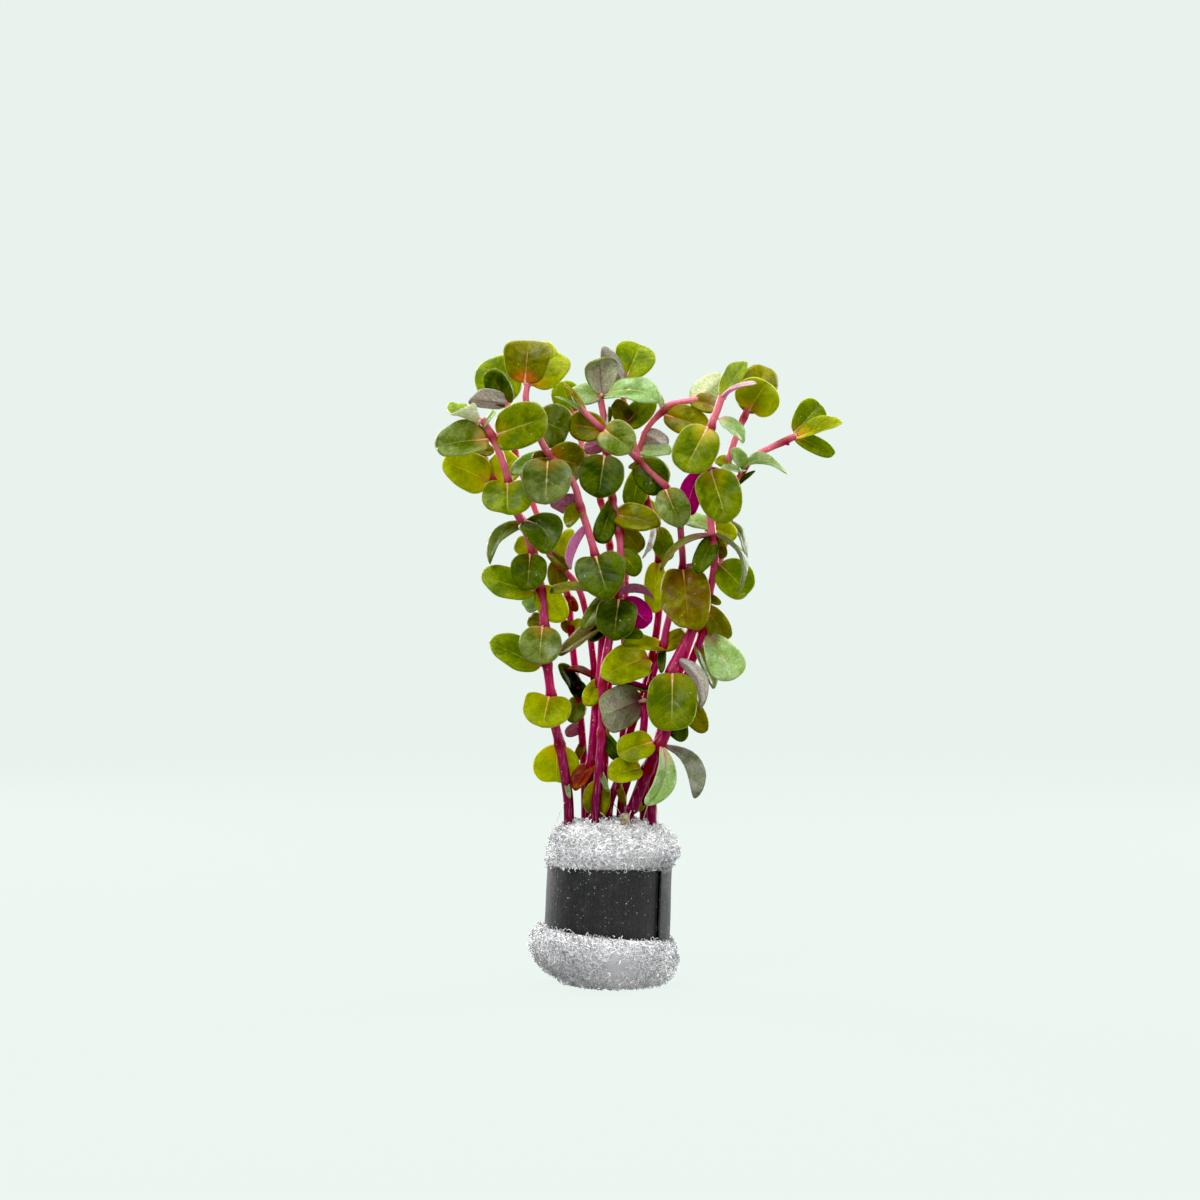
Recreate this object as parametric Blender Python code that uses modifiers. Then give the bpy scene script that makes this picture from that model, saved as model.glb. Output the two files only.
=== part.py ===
"""A bunch of rotala, a stem plant for aquariums grown above water, standing in its foam plug.

Twelve leafy shoots are pushed into a plug of open-celled foam. A strip of soft grey metal is wrapped round
the plug's waist with its ends overlapping, so it holds the shoots and weighs the bunch down. The leaves
grow in pairs at the swollen joints of each stem. The large outer leaves are objects of their own, and the
young, shaded and narrow ones are joined to the stem that they grow from.

Places and sizes are in millimetres. X runs to the right, Y away from the viewer and Z up. The origin is the
middle of the plug's flat underside, on the surface that it stands on.
"""

import math

import bmesh
import bpy
from mathutils import Matrix, Vector

MM = 0.001
GAP = 0.3

LEFT = Vector((-1, 0, 0))
RIGHT = Vector((1, 0, 0))
FRONT = Vector((0, -1, 0))
BACK = Vector((0, 1, 0))
UP = Vector((0, 0, 1))

# The foam plug, as a turned profile: each ring's radius, its height and how far its centre lies to the right
PLUG_PROFILE = (
    (9.2, 0.0, 0.3),
    (11.8, 1.2, 0.3),
    (14.3, 4.0, -0.7),
    (14.9, 7.6, -1.6),
    (14.2, 9.7, -1.6),
    (11.2, 10.3, -0.9),
    (11.2, 24.6, -0.5),
    (12.6, 25.1, 0.1),
    (12.9, 28.0, 0.5),
    (10.9, 31.2, -0.2),
    (6.2, 32.6, -0.6),
)
PLUG_TOP = (33.2, -0.8)
PLUG_STEPS = 16

# The strip of soft metal, wrapped once round and a little over itself. Its foot hangs lower at the right
STRIP_THICK = 0.8
STRIP_RADIUS = 11.5
STRIP_FLARE = 0.3
STRIP_START = math.radians(-35)
STRIP_OVERLAP = math.radians(48)
STRIP_STEPS = 26
STRIP_TOP = 24.0
STRIP_TOP_FALL = 0.3
STRIP_FOOT = 10.6
STRIP_FOOT_FALL = 1.2
STRIP_CENTRE = (-0.9, -0.5)

# How the stems stand in the plug
STEM_FOOT = 14.0
ROD_SIDES = 6
SOCKET_GAP = 0.35
STEM_ROUNDNESS = 1
JOINT_SWELL = 1.28
JOINT_REACH = 1.1
JOINT_CLEAR = 4.2

# The end of a stem that was cut off, beside the others
STUB_PLACE = (2.6, -6.6)
STUB_RADIUS = 0.9
STUB_TOP = 34.8

# A leaf's section
LEAF_THICK = 0.45
TIP_SHARPNESS = 9
MATURE_SEGMENTS = 10
YOUNG_SEGMENTS = 8
NARROW_SEGMENTS = 6
NARROW_LEAF = 3.5

COLOURS = {
    "green": (0.12, 0.24, 0.02),
    "dark": (0.05, 0.12, 0.02),
    "olive": (0.19, 0.20, 0.02),
    "yellow": (0.33, 0.38, 0.02),
    "grey": (0.22, 0.31, 0.19),
    "pale": (0.55, 0.68, 0.42),
    "violet": (0.33, 0.30, 0.27),
    "mauve": (0.37, 0.18, 0.26),
    "lilac": (0.50, 0.22, 0.42),
    "silver": (0.42, 0.38, 0.38),
    "magenta": (0.42, 0.02, 0.20),
    "brown": (0.23, 0.14, 0.02),
    "maroon": (0.16, 0.02, 0.02),
    "stem": (0.36, 0.04, 0.09),
    "stub": (0.30, 0.26, 0.16),
    "foam": (0.72, 0.73, 0.74),
    "strip": (0.05, 0.05, 0.055),
}

# Each shoot: its diameter at the foot and at the tip, the heights of its joints, and the line of its stem
SHOOTS = {
    "left_front": (
        (2.1, 1.5),
        (48.2, 58, 64.3, 71.6, 79, 86.5, 91.8, 100.3, 109.3),
        (
            (-8.4, -1.5, 34), (-9, -1.8, 41), (-10.2, -2.2, 48.2), (-11.2, -2.4, 52.4), (-11.9, -2.6, 58),
            (-12.7, -3, 64.3), (-13.2, -3.6, 71.6), (-13.9, -4.4, 79), (-15.5, -5, 86.5),
            (-17.3, -5.5, 91.8), (-19, -5.8, 95), (-20.2, -6.1, 100.3), (-22, -6.5, 106),
            (-23.5, -6.8, 109.3), (-25.5, -7, 112.8),
        ),
    ),
    "left_middle": (
        (1.9, 1.3),
        (44, 60.5, 72, 78.6, 86, 95.2, 105.3, 112.6),
        (
            (-5, -0.5, 34), (-4.6, -0.7, 38), (-4.1, -1, 44), (-3.5, -1.2, 50), (-3, -1.4, 56),
            (-2.3, -1.5, 60.5), (-1.8, -1.9, 68), (-1.6, -2.4, 72), (-1.6, -3.6, 78.6), (-3.2, -6, 86),
            (-4.4, -6.7, 90.3), (-6, -7.3, 95.2), (-7.6, -7.7, 100.3), (-12, -8.5, 105.3),
            (-14, -8.9, 108.8), (-15.6, -9.2, 112.6), (-16.8, -9.4, 116.5), (-16.5, -9.5, 119.6),
        ),
    ),
    "centre_front": (
        (1.9, 1.4),
        (50.5, 60.5, 77.3, 90.3, 97, 106),
        (
            (-3.2, -4.4, 33.5), (-2.6, -4.6, 40), (-2.1, -4.8, 45.7), (-1.8, -4.7, 50.5),
            (-1.7, -4.5, 55.5), (-1.6, -4.2, 60.5), (-1.1, -3.9, 65), (-0.3, -3.7, 69.3),
            (1.4, -3.3, 77.3), (2, -2.9, 83), (1.7, -2.4, 90.3), (0.9, -2.1, 94), (0.3, -1.9, 97),
            (-0.8, -1.3, 106), (-1.2, -0.6, 112), (-2.2, 0, 117.8),
        ),
    ),
    "left_outer": (
        (1.5, 1.2),
        (61.5, 84.6, 101, 107),
        (
            (-2, 1.6, 34), (-2.6, 1.9, 42), (-3, 2, 52), (-3.3, 2, 61.5), (-3.8, 2, 67), (-4.8, 2, 73.5),
            (-6.8, 1.9, 79.9), (-11, 1.5, 84.6), (-16, 1, 91), (-20, 0.5, 96.5), (-23.6, 0, 101),
            (-25, 0, 105), (-26.4, 0, 107), (-27.3, 0, 109.5),
        ),
    ),
    "left_back": (
        (1.6, 1.2),
        (57, 71, 77.5, 92, 107),
        (
            (-5.2, 3.8, 34), (-5.5, 4, 45), (-6.3, 4.5, 55), (-7.2, 4.9, 63), (-8, 5, 71),
            (-8.6, 5.4, 77.5), (-11, 6, 84.4), (-14, 6, 92), (-17, 5.5, 100), (-19.3, 5, 107),
            (-20.5, 4.5, 113), (-20.9, 4.2, 116.6),
        ),
    ),
    "centre_back": (
        (1.6, 1.2),
        (60, 75, 88, 97, 105),
        (
            (-1.4, 6, 34), (-1.2, 6.3, 45), (-0.6, 6.8, 60), (-0.3, 7.2, 75), (-0.2, 7.6, 88),
            (-2, 8.1, 97), (-4.6, 8.6, 105), (-6.8, 9, 111.5), (-7.8, 9, 115.4),
        ),
    ),
    "right_branch": (
        (1.6, 1.2),
        (57, 70, 88, 104, 115),
        (
            (2.4, 4.3, 41), (2.6, 4.6, 57), (2.8, 4.9, 70), (3.1, 5.2, 88), (3.7, 5.6, 97), (5, 6, 104),
            (6.2, 6, 109), (7.5, 6, 112), (10.3, 6, 115), (12, 6, 116.5), (17.6, 6, 117.5),
        ),
    ),
    "centre_right": (
        (1.8, 1.2),
        (65.5, 84.5, 96.7, 112.3),
        (
            (-0.6, -1.9, 34), (1.4, -1, 41), (3.6, 0.8, 50), (6.2, 1.5, 57.5), (8.3, 2, 65.5),
            (9.7, 2, 76), (9.6, 1.5, 84.5), (8.5, 1, 92.8), (7.3, 0.8, 96.7), (6.8, 1, 100),
            (5, 1.5, 107), (3.4, 2, 112.3), (2.6, 2.3, 117), (2.2, 2.5, 121.2),
        ),
    ),
    "diagonal": (
        (1.7, 1.2),
        (57, 67.6, 83.2, 92.8, 99.3, 104.5, 110.6),
        (
            (1.9, 0.9, 34), (3.3, 0.2, 41), (6.2, -0.9, 49.5), (7, -1.6, 57), (9.1, -1.9, 64.7),
            (10.3, -2.3, 67.6), (11.1, -2.5, 71.7), (12.6, -2.7, 77.5), (14.2, -3, 83.2),
            (14, -3.4, 88.5), (13.6, -4, 92.8), (12.6, -4.5, 96.5), (11, -4.9, 99.3), (8, -5.5, 102.2),
            (5.7, -6, 104.5), (3, -7, 106.9), (-1.6, -8, 110.6), (-6.3, -9, 115),
        ),
    ),
    "right_inner": (
        (2.4, 1.3),
        (43.4, 48.4, 62.5, 71.7, 82, 91.5, 113.8),
        (
            (3.7, -3.8, 33.5), (4.3, -4, 35.5), (6.3, -4.5, 41), (7.7, -4.7, 44.5), (9.6, -4.9, 48.4),
            (10.9, -5, 51), (11.5, -4.6, 56.5), (11.9, -4, 62.5), (13.3, -3.6, 65.8), (16.4, -3, 71.7),
            (16.3, -2.2, 74.5), (16.6, -1.3, 77.5), (17.6, 0.3, 82), (19.5, 2, 90), (22, 3.5, 98.5),
            (24, 4, 106.3), (25.6, 4, 111), (26.8, 4, 113.8), (28, 4, 116.2),
        ),
    ),
    "right_front": (
        (1.9, 1.5),
        (47.5, 61.1, 70.8, 77.7, 89, 102.8, 111.3),
        (
            (8.2, -1.3, 36), (8.9, -1.3, 43), (9.9, -1, 47.5), (12, -0.8, 53.5), (14.9, -0.8, 61.1),
            (15.9, -0.8, 64.3), (18.4, -1, 70.8), (19, -1.7, 74.5), (19.3, -3, 77.7), (20.3, -4, 82),
            (20.6, -4.4, 86), (20.3, -4.5, 89), (19.8, -4.5, 93), (19.2, -4.5, 102.8), (19.9, -5, 111.3),
            (21, -5.2, 114.5), (22, -5.2, 117.4),
        ),
    ),
    "right_outer": (
        (1.7, 1.2),
        (76, 93, 103.2, 109),
        (
            (6.6, 1.9, 34), (7.3, 2, 41), (9, 2.2, 48), (12, 3, 57), (15, 4, 66), (18.5, 4.6, 76),
            (22, 5, 85), (23.8, 5, 93), (25.3, 5, 100.5), (26.7, 5, 103.2), (29, 5, 106), (32, 5, 107.6),
            (35, 5, 109), (37.3, 5, 110.1),
        ),
    ),
}

LEAVES = []


def leaf(own, shoot, height, tip, width, face, look, **shape):
    """Notes one leaf: the height on its shoot where it grows, its tip, and the way its upper side faces.

    The shape words: `lobe` draws the base out beside the stem, `taper` widens it towards the tip, `cup` lifts
    its sides, `arch` its middle, `bend` curves it sideways, `fold` closes it along the midrib, `full` squares
    its shoulders and `point` draws its tip out.
    """
    LEAVES.append(dict(own=own, shoot=shoot, height=height, tip=Vector(tip), width=width, face=face,
                       look=look, lobe=0.0, taper=0.0, cup=0.14, arch=0.05, bend=0.0,
                       fold=0.0, full=0.0, point=0.0) | shape)


def mature(*row, **shape):
    leaf(True, *row, **shape)


def young(*row, **shape):
    leaf(False, *row, **shape)


# The leaves of the shoot at the left front
mature("left_front", 112.8, (-32.8, -8.8, 113.9), 9.6, UP + FRONT / 3, "green", cup=0.22, lobe=0.12)
young("left_front", 111.6, (-22.7, -9.5, 114), 3, UP + FRONT, "pale")
mature("left_front", 109.3, (-34.6, -9, 107.2), 8, FRONT + UP / 2, "grey", cup=0.2, lobe=0.03)
mature("left_front", 109.3, (-12.4, -13, 112.6), 9.3, FRONT + UP / 4, "green", lobe=0.04, full=0.5)
mature("left_front", 100.3, (-20.4, -10.5, 93.6), 10.2, FRONT + UP / 4, "green", lobe=0.12, full=0.5)
young("left_front", 91.8, (-23.9, -7.5, 85.4), 4.4, LEFT + UP + FRONT * 1.5, "grey", bend=-0.2, point=0.1)
mature("left_front", 92.6, (-12, -9, 87), 8.2, FRONT + UP / 4 + RIGHT / 4, "dark", bend=0.2, point=0.08)
mature("left_front", 86.5, (-16.5, -8.5, 78.9), 7.2, FRONT + UP / 3, "dark")
young("left_front", 86.5, (-19, -2.5, 88.8), 4, FRONT, "yellow")
mature("left_front", 79, (-25.6, -6.5, 82), 6.8, FRONT + UP / 2, "green", bend=0.06)
young("left_front", 79, (-9.6, -2, 73), 6, FRONT, "yellow")
young("left_front", 78, (-17.4, -2, 75.2), 3.6, FRONT, "pale")
mature("left_front", 72, (-14.3, -7.5, 64.2), 8.4, FRONT + UP / 4, "grey")
young("left_front", 71.6, (-16.4, -1.5, 73.8), 3.6, FRONT, "olive")
mature("left_front", 64.3, (-24.2, -5, 69), 6.8, FRONT + UP / 2, "green", bend=0.05)
mature("left_front", 58, (-13.6, -9, 51.8), 10.2, FRONT + UP / 3, "yellow", lobe=0.1)
mature("left_front", 48.2, (-11, 2.4, 40.2), 9.4, FRONT, "yellow")

# The leaves of the shoot at the left of the middle
mature("left_middle", 119.6, (-16.2, -10.5, 128.1), 8.8, FRONT, "olive", taper=0.2, full=1.3)
mature("left_middle", 119.6, (-10.2, -5, 126.4), 8.4, FRONT, "yellow", full=1.1)
mature("left_middle", 112.6, (-8.4, -3, 110.4), 9, FRONT, "grey")
mature("left_middle", 105.3, (-12.9, -13, 95.7), 9.8, FRONT + UP / 3, "grey", fold=0.12, full=0.5)
young("left_middle", 105.3, (-5.4, -3, 103.6), 8, FRONT, "olive")
young("left_middle", 105.3, (-15.8, -8.5, 104.9), 2.6, FRONT + UP, "brown")
young("left_middle", 105.3, (-20, -4, 102.4), 4.4, FRONT + UP / 2, "pale")
young("left_middle", 95.2, (-12, -4.5, 96), 4.6, BACK + UP / 2, "mauve")
young("left_middle", 95.2, (-9.2, -5, 91.9), 3.8, FRONT + UP / 2, "yellow")
young("left_middle", 91.5, (-8.3, -4.5, 83.4), 5, LEFT + BACK / 2, "lilac")
mature("left_middle", 86, (-0.8, -11.5, 78), 10.2, FRONT + UP / 3, "dark", lobe=0.1, point=0.06)
young("left_middle", 78.6, (-12, -6.5, 78.8), 6, UP + FRONT / 3, "olive")
young("left_middle", 77.4, (-5.7, -5, 71.3), 3, FRONT, "grey")
young("left_middle", 72, (-4.1, -3.5, 68.8), 2.8, FRONT, "dark")
young("left_middle", 72, (-10.4, -4.5, 65.8), 5, UP + FRONT / 2, "mauve")
young("left_middle", 60.5, (-5, -3.2, 55.9), 3.8, FRONT + UP / 3, "yellow")
young("left_middle", 44, (-7.2, -4.2, 39.4), 4.2, FRONT + LEFT / 2 + UP / 2, "maroon")

# The leaves of the front shoot in the middle
mature("centre_front", 117.8, (-2.4, -1.5, 126.2), 7.2, BACK, "violet", taper=0.4)
mature("centre_front", 117.8, (9, -4.5, 117.4), 7.4, UP + FRONT, "green", arch=0.14, point=0.08)
young("centre_front", 117.8, (-7.9, 1.5, 118.2), 5.4, FRONT + UP / 2, "pale")
young("centre_front", 108.5, (-5.6, 0.5, 107), 3.2, BACK, "mauve")
young("centre_front", 111, (-0.4, -3, 115.4), 2.5, RIGHT + FRONT / 3, "grey")
mature("centre_front", 106, (-2.5, -6.5, 97.2), 9, FRONT + UP / 3, "dark")
young("centre_front", 97, (-2.6, -5, 88.3), 4.5, FRONT + RIGHT / 2, "dark", taper=0.4)
young("centre_front", 94, (9.7, -5, 91.7), 6, FRONT + UP / 2, "olive")
young("centre_front", 92, (6.2, 0, 86.8), 4.4, FRONT, "olive")
young("centre_front", 86.5, (5.6, -3.5, 82.1), 4.6, FRONT + UP / 3, "green")
mature("centre_front", 77.3, (0.5, -8.5, 69.5), 8.2, FRONT + UP / 4, "dark", full=0.7)
young("centre_front", 78, (8.7, -4.5, 77.3), 6, UP + BACK / 4, "mauve", arch=0.15)
mature("centre_front", 77.3, (7.6, -5.5, 72.2), 5.4, BACK, "magenta")
young("centre_front", 70.6, (6.2, -6.5, 70), 3.4, FRONT + UP / 2, "dark")
young("centre_front", 50.5, (2.5, -3.5, 45), 3.2, FRONT + LEFT / 3, "dark")
young("centre_front", 40.5, (-3.2, -2.4, 34), 5.6, FRONT, "olive")

# The leaves of the outer shoot at the left
mature("left_outer", 101, (-33.2, -4, 104.6), 8.2, FRONT + UP / 5, "yellow")
young("left_outer", 101, (-18.8, 2, 106), 6.6, FRONT, "yellow")
young("left_outer", 107, (-30.1, 1.5, 106.3), 3, BACK + UP / 2, "mauve")
young("left_outer", 107, (-23.4, -1, 106.4), 3, FRONT + UP / 2, "brown")
young("left_outer", 84.6, (-8, 3.5, 91.2), 3.4, FRONT, "yellow")
young("left_outer", 84.6, (-10.3, 2.4, 78.6), 4.2, FRONT, "olive")
young("left_outer", 86.5, (-8.3, -1, 83), 2.6, FRONT + UP / 2, "brown")
young("left_outer", 61.5, (-9.3, 2, 63.3), 4, UP + FRONT / 4, "maroon")

# The leaves of the back shoot at the left
mature("left_back", 116.6, (-24, 6.5, 126), 9.4, FRONT, "green", full=0.4)
young("left_back", 116.6, (-24.6, 2, 123.2), 5.2, FRONT, "dark")
young("left_back", 116.6, (-27.9, -1, 117), 4.6, BACK + UP / 2, "silver", point=0.1)
young("left_back", 57, (-7.8, 1, 52.3), 4.2, FRONT, "grey")
young("left_back", 58, (-10.3, 2, 64.3), 4, FRONT + RIGHT, "dark")
young("left_back", 60, (-5, 3, 57), 3, FRONT, "dark")
young("left_back", 51.5, (-9.2, 3, 50.1), 2.6, BACK, "mauve")
young("left_back", 48, (-7.2, 1, 44.6), 1.8, FRONT, "brown")
young("left_back", 71, (-10, 4, 72.6), 2.4, FRONT, "brown")
young("left_back", 71, (-5.6, 4, 73), 2.4, FRONT, "yellow")
young("left_back", 77.5, (-6.8, 4.2, 74.8), 2.2, FRONT, "maroon")

# The leaves of the back shoot in the middle
young("centre_back", 115.4, (-10.3, 8, 121.4), 6, FRONT, "green")

# The leaves of the shoot that branches out to the right
mature("right_branch", 115, (20, 4, 111), 6.5, FRONT + UP / 3, "olive")
young("right_branch", 115, (5.3, 5, 119.8), 3.4, UP + RIGHT + BACK / 2, "pale", arch=0.2)
young("right_branch", 117.35, (23.2, 7, 122.2), 5.5, BACK, "pale")
young("right_branch", 117.35, (22, 3, 115.4), 4.5, FRONT + UP / 2, "brown")
young("right_branch", 110.5, (11.2, 4, 107.8), 4.6, BACK, "silver")
young("right_branch", 107, (12.3, 3, 106.6), 4.4, UP + FRONT, "pale")
young("right_branch", 104, (11.9, 6, 101.6), 6, FRONT, "yellow")

# The leaves of the shoot at the right of the middle
mature("centre_right", 121.2, (6, 4.5, 128.6), 8, FRONT, "green", taper=0.3)
young("centre_right", 120.7, (-1.4, -0.5, 127.2), 3.6, BACK, "silver", point=0.1)
young("centre_right", 112.3, (0.7, -0.5, 117), 4, FRONT, "olive")
young("centre_right", 112.3, (8.6, -1, 117.4), 5, FRONT, "green")
young("centre_right", 103.6, (4.2, -1, 95.4), 4.8, FRONT, "green", taper=0.35)
young("centre_right", 96.7, (6.6, 3, 92.6), 2.6, FRONT, "yellow")
young("centre_right", 96.7, (9.8, 2.5, 93), 2.6, FRONT, "yellow")
young("centre_right", 92.4, (6.2, -4.4, 85.2), 3.6, RIGHT + BACK / 2.5, "silver")
mature("centre_right", 91.6, (11.3, -0.2, 84.8), 4.4, FRONT + UP / 4, "green")
mature("centre_right", 84.8, (8.6, -1, 74.5), 4.6, FRONT, "yellow")
mature("centre_right", 65.5, (-1.6, -8.4, 62.2), 8, FRONT + UP / 5, "yellow")

# The leaves of the shoot that crosses to the left
young("diagonal", 114, (-9.4, -9.5, 119.6), 2.2, RIGHT + FRONT / 2, "brown")
mature("diagonal", 110.6, (4, -11, 106.4), 7.2, FRONT + UP / 4, "grey", lobe=0.1)
young("diagonal", 110.6, (-8.3, -5.5, 112), 6.2, FRONT, "olive")
young("diagonal", 104.5, (10.3, -3.5, 98.8), 7.2, FRONT, "dark")
mature("diagonal", 99.3, (13.6, -8, 91.5), 6.6, FRONT + UP / 4, "grey")
mature("diagonal", 83.2, (15.3, -8.5, 71), 9.8, FRONT + UP / 5, "brown", full=0.6, lobe=0.06)
young("diagonal", 82.6, (16.8, -2.2, 83.8), 2.2, BACK, "mauve")
young("diagonal", 67.6, (2.4, -5.5, 68.2), 4.6, FRONT + UP, "yellow")
young("diagonal", 67.6, (14.9, -1, 70.7), 3.6, FRONT, "olive")
young("diagonal", 67.4, (9.9, -5, 62.6), 1.8, FRONT, "dark")
mature("diagonal", 57, (-1.6, -7, 54), 9, BACK + UP / 5, "violet", full=0.9)
young("diagonal", 58.6, (0.2, -5.5, 60.4), 2.8, UP + FRONT / 3, "dark")

# The leaves of the inner shoot at the right
mature("right_inner", 115.4, (31.3, 1.5, 120.8), 9.2, FRONT, "yellow", lobe=0.1)
young("right_inner", 115.3, (31.6, 7, 124.2), 8, FRONT, "olive")
young("right_inner", 105, (21, 3, 104.2), 3.4, FRONT + UP, "yellow")
young("right_inner", 92, (14.5, 1, 92.9), 5, UP + FRONT, "pale")
young("right_inner", 91.5, (25, 1, 89.3), 5.4, FRONT + UP / 2, "yellow")
young("right_inner", 64.8, (17.9, -6.5, 55.2), 3.8, BACK + RIGHT, "silver", bend=-0.2, taper=0.25)
mature("right_inner", 62.5, (11.9, -9, 51), 10, FRONT + UP / 6, "green", full=0.5)
mature("right_inner", 48.4, (1.2, -8, 46.6), 6.4, FRONT + UP / 2, "yellow")
mature("right_inner", 43.4, (-0.5, -7.5, 42), 6, FRONT + UP / 1.5, "yellow")
mature("right_inner", 48.4, (7, -9, 36.4), 4.6, FRONT + RIGHT / 2, "pale", bend=0.16)

# The leaves of the front shoot at the right
young("right_front", 117.4, (28.6, -8.5, 119.8), 2.6, UP + FRONT / 2, "lilac", arch=0.08)
mature("right_front", 117.4, (27, -1, 124.6), 5.4, FRONT + LEFT, "green", fold=0.2)
mature("right_front", 111.3, (14.2, -9.5, 102), 8.8, FRONT + UP / 4, "green")
mature("right_front", 113.4, (26, -6.5, 108.6), 4.4, UP + RIGHT / 2 + FRONT, "pale", arch=0.14, point=0.08)
mature("right_front", 102.8, (22.8, -9.5, 92.3), 8.9, FRONT + UP / 4, "green")
young("right_front", 102.4, (15.6, -3, 93.8), 4.8, BACK, "magenta", bend=0.15)
young("right_front", 89.6, (9.7, -8.5, 82.8), 4, UP + FRONT / 6, "mauve", arch=0.16)
young("right_front", 89, (16.8, -7.5, 82.3), 4.2, FRONT + UP / 4, "dark")
young("right_front", 89.6, (25, -9, 78.6), 5, RIGHT + UP / 2 + FRONT / 6, "grey", arch=0.26)
young("right_front", 89, (22.4, -3, 85.2), 3.2, FRONT, "brown")
mature("right_front", 84.2, (27.4, -3.5, 78.2), 7.6, FRONT + UP / 5, "green")
young("right_front", 77.7, (21.8, -4, 76.2), 1.8, FRONT, "olive")
young("right_front", 75.2, (23.4, -0.5, 68.9), 4.6, FRONT, "olive")
young("right_front", 75.8, (17.1, -5, 70.8), 1.8, FRONT, "maroon")
mature("right_front", 70.8, (24.6, -5.5, 61.4), 6.4, FRONT, "pale", taper=0.5, full=0.6)
young("right_front", 67.8, (20.6, -1.5, 59.4), 4.4, FRONT + RIGHT, "grey")
young("right_front", 58, (19, -2.5, 50.8), 4.6, FRONT, "olive")
young("right_front", 53.5, (14.6, -3, 49.2), 4.4, FRONT, "dark")
young("right_front", 47.5, (17.2, -3, 37.8), 3.6, FRONT + RIGHT / 3, "silver", bend=0.24, taper=0.6)

# The leaves of the outer shoot at the right
young("right_outer", 103.2, (34.4, 2, 103.2), 3.6, UP + FRONT, "pale", arch=0.3, point=0.1)
young("right_outer", 103.2, (24.4, 0, 107), 4.2, FRONT + UP / 2, "pale")
young("right_outer", 103.2, (22.2, -0.5, 102.9), 3, UP + FRONT, "pale")
mature("right_outer", 110.1, (42.4, 6, 116.6), 6.2, FRONT, "green", taper=0.25)
mature("right_outer", 110.1, (46.4, 2, 112.6), 4.6, FRONT + UP, "yellow", fold=0.15)
young("right_outer", 110.1, (45.2, 6.5, 106.4), 3.6, FRONT, "green")
young("right_outer", 93, (27, 2, 84.9), 4.4, RIGHT + FRONT / 2, "grey", arch=0.1)


def clear_scene():
    for obj in list(bpy.data.objects):
        bpy.data.objects.remove(obj, do_unlink=True)


def new_collection(name):
    collection = bpy.data.collections.new(name)
    bpy.context.scene.collection.children.link(collection)
    return collection


def new_material(name, look, roughness=0.5, metallic=0.0):
    material = bpy.data.materials.new(name)
    material.use_nodes = True
    shader = material.node_tree.nodes["Principled BSDF"]
    shader.inputs["Base Color"].default_value = (*COLOURS[look], 1.0)
    shader.inputs["Roughness"].default_value = roughness
    shader.inputs["Metallic"].default_value = metallic
    return material


def add_object(name, mesh, collection, material=None):
    obj = bpy.data.objects.new(name, mesh)
    collection.objects.link(obj)
    if material:
        mesh.materials.clear()
        mesh.materials.append(material)
    return obj


def set_origin(obj, place):
    """Moves an object's origin to this place in millimetres, and leaves its shape where it is."""
    obj.data.transform(Matrix.Translation(place * -MM))
    obj.location = place * MM


def as_guide(obj):
    obj.hide_render = True
    obj.display_type = "WIRE"


def evaluated_mesh(obj):
    bpy.context.view_layer.update()
    graph = bpy.context.evaluated_depsgraph_get()
    return bpy.data.meshes.new_from_object(obj.evaluated_get(graph))


def place_on(path, height):
    """The point of a stem's line at this height, and the way the stem runs there."""
    for low, high in zip(path, path[1:]):
        if height <= high.z or high is path[-1]:
            share = (height - low.z) / (high.z - low.z)
            return low.lerp(high, share), (high - low).normalized()


def stem_path(shoot):
    points = [Vector(point) for point in SHOOTS[shoot][2]]
    foot = points[0].copy()
    foot.z = STEM_FOOT
    return [foot] + points


def stem_radius(shoot, height):
    (foot, tip), _, points = SHOOTS[shoot]
    share = max(0.0, height - points[0][2]) / (points[-1][2] - points[0][2])
    return (foot + (tip - foot) * share) / 2


def stem_rings(shoot):
    """Where the stem's rings lie and how thick they are: its line's points, with a swelling at each joint."""
    path = stem_path(shoot)
    joints = SHOOTS[shoot][1]
    rings = []
    for joint in joints:
        for offset, swell in ((-JOINT_REACH, 1.0), (0.0, JOINT_SWELL), (JOINT_REACH, 1.0)):
            point, _ = place_on(path, joint + offset)
            rings.append((point, stem_radius(shoot, point.z) * swell))
    for point in path:
        at_end = point in (path[0], path[-1])
        if at_end or all(abs(point.z - joint) > JOINT_CLEAR for joint in joints):
            rings.append((point, stem_radius(shoot, point.z)))
    return sorted(rings, key=lambda ring: ring[0].z)


def make_stem(shoot, collection, guides, material):
    rings = stem_rings(shoot)
    curve = bpy.data.curves.new(shoot, "CURVE")
    curve.dimensions = "3D"
    curve.bevel_depth = MM
    curve.bevel_resolution = STEM_ROUNDNESS
    curve.use_fill_caps = True
    spline = curve.splines.new("POLY")
    spline.points.add(len(rings) - 1)
    for at, (point, radius) in zip(spline.points, rings):
        at.co = (*(point * MM), 1.0)
        at.radius = radius
    guide = bpy.data.objects.new(shoot + "_line", curve)
    guides.objects.link(guide)
    mesh = evaluated_mesh(guide)
    bpy.data.objects.remove(guide)
    shaped = bmesh.new()
    shaped.from_mesh(mesh)
    bmesh.ops.remove_doubles(shaped, verts=shaped.verts, dist=1e-6)
    bmesh.ops.recalc_face_normals(shaped, faces=shaped.faces)
    shaped.to_mesh(mesh)
    shaped.free()
    stem = add_object("stem_" + shoot, mesh, collection, material)
    set_origin(stem, stem_path(shoot)[0])
    return stem


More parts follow.
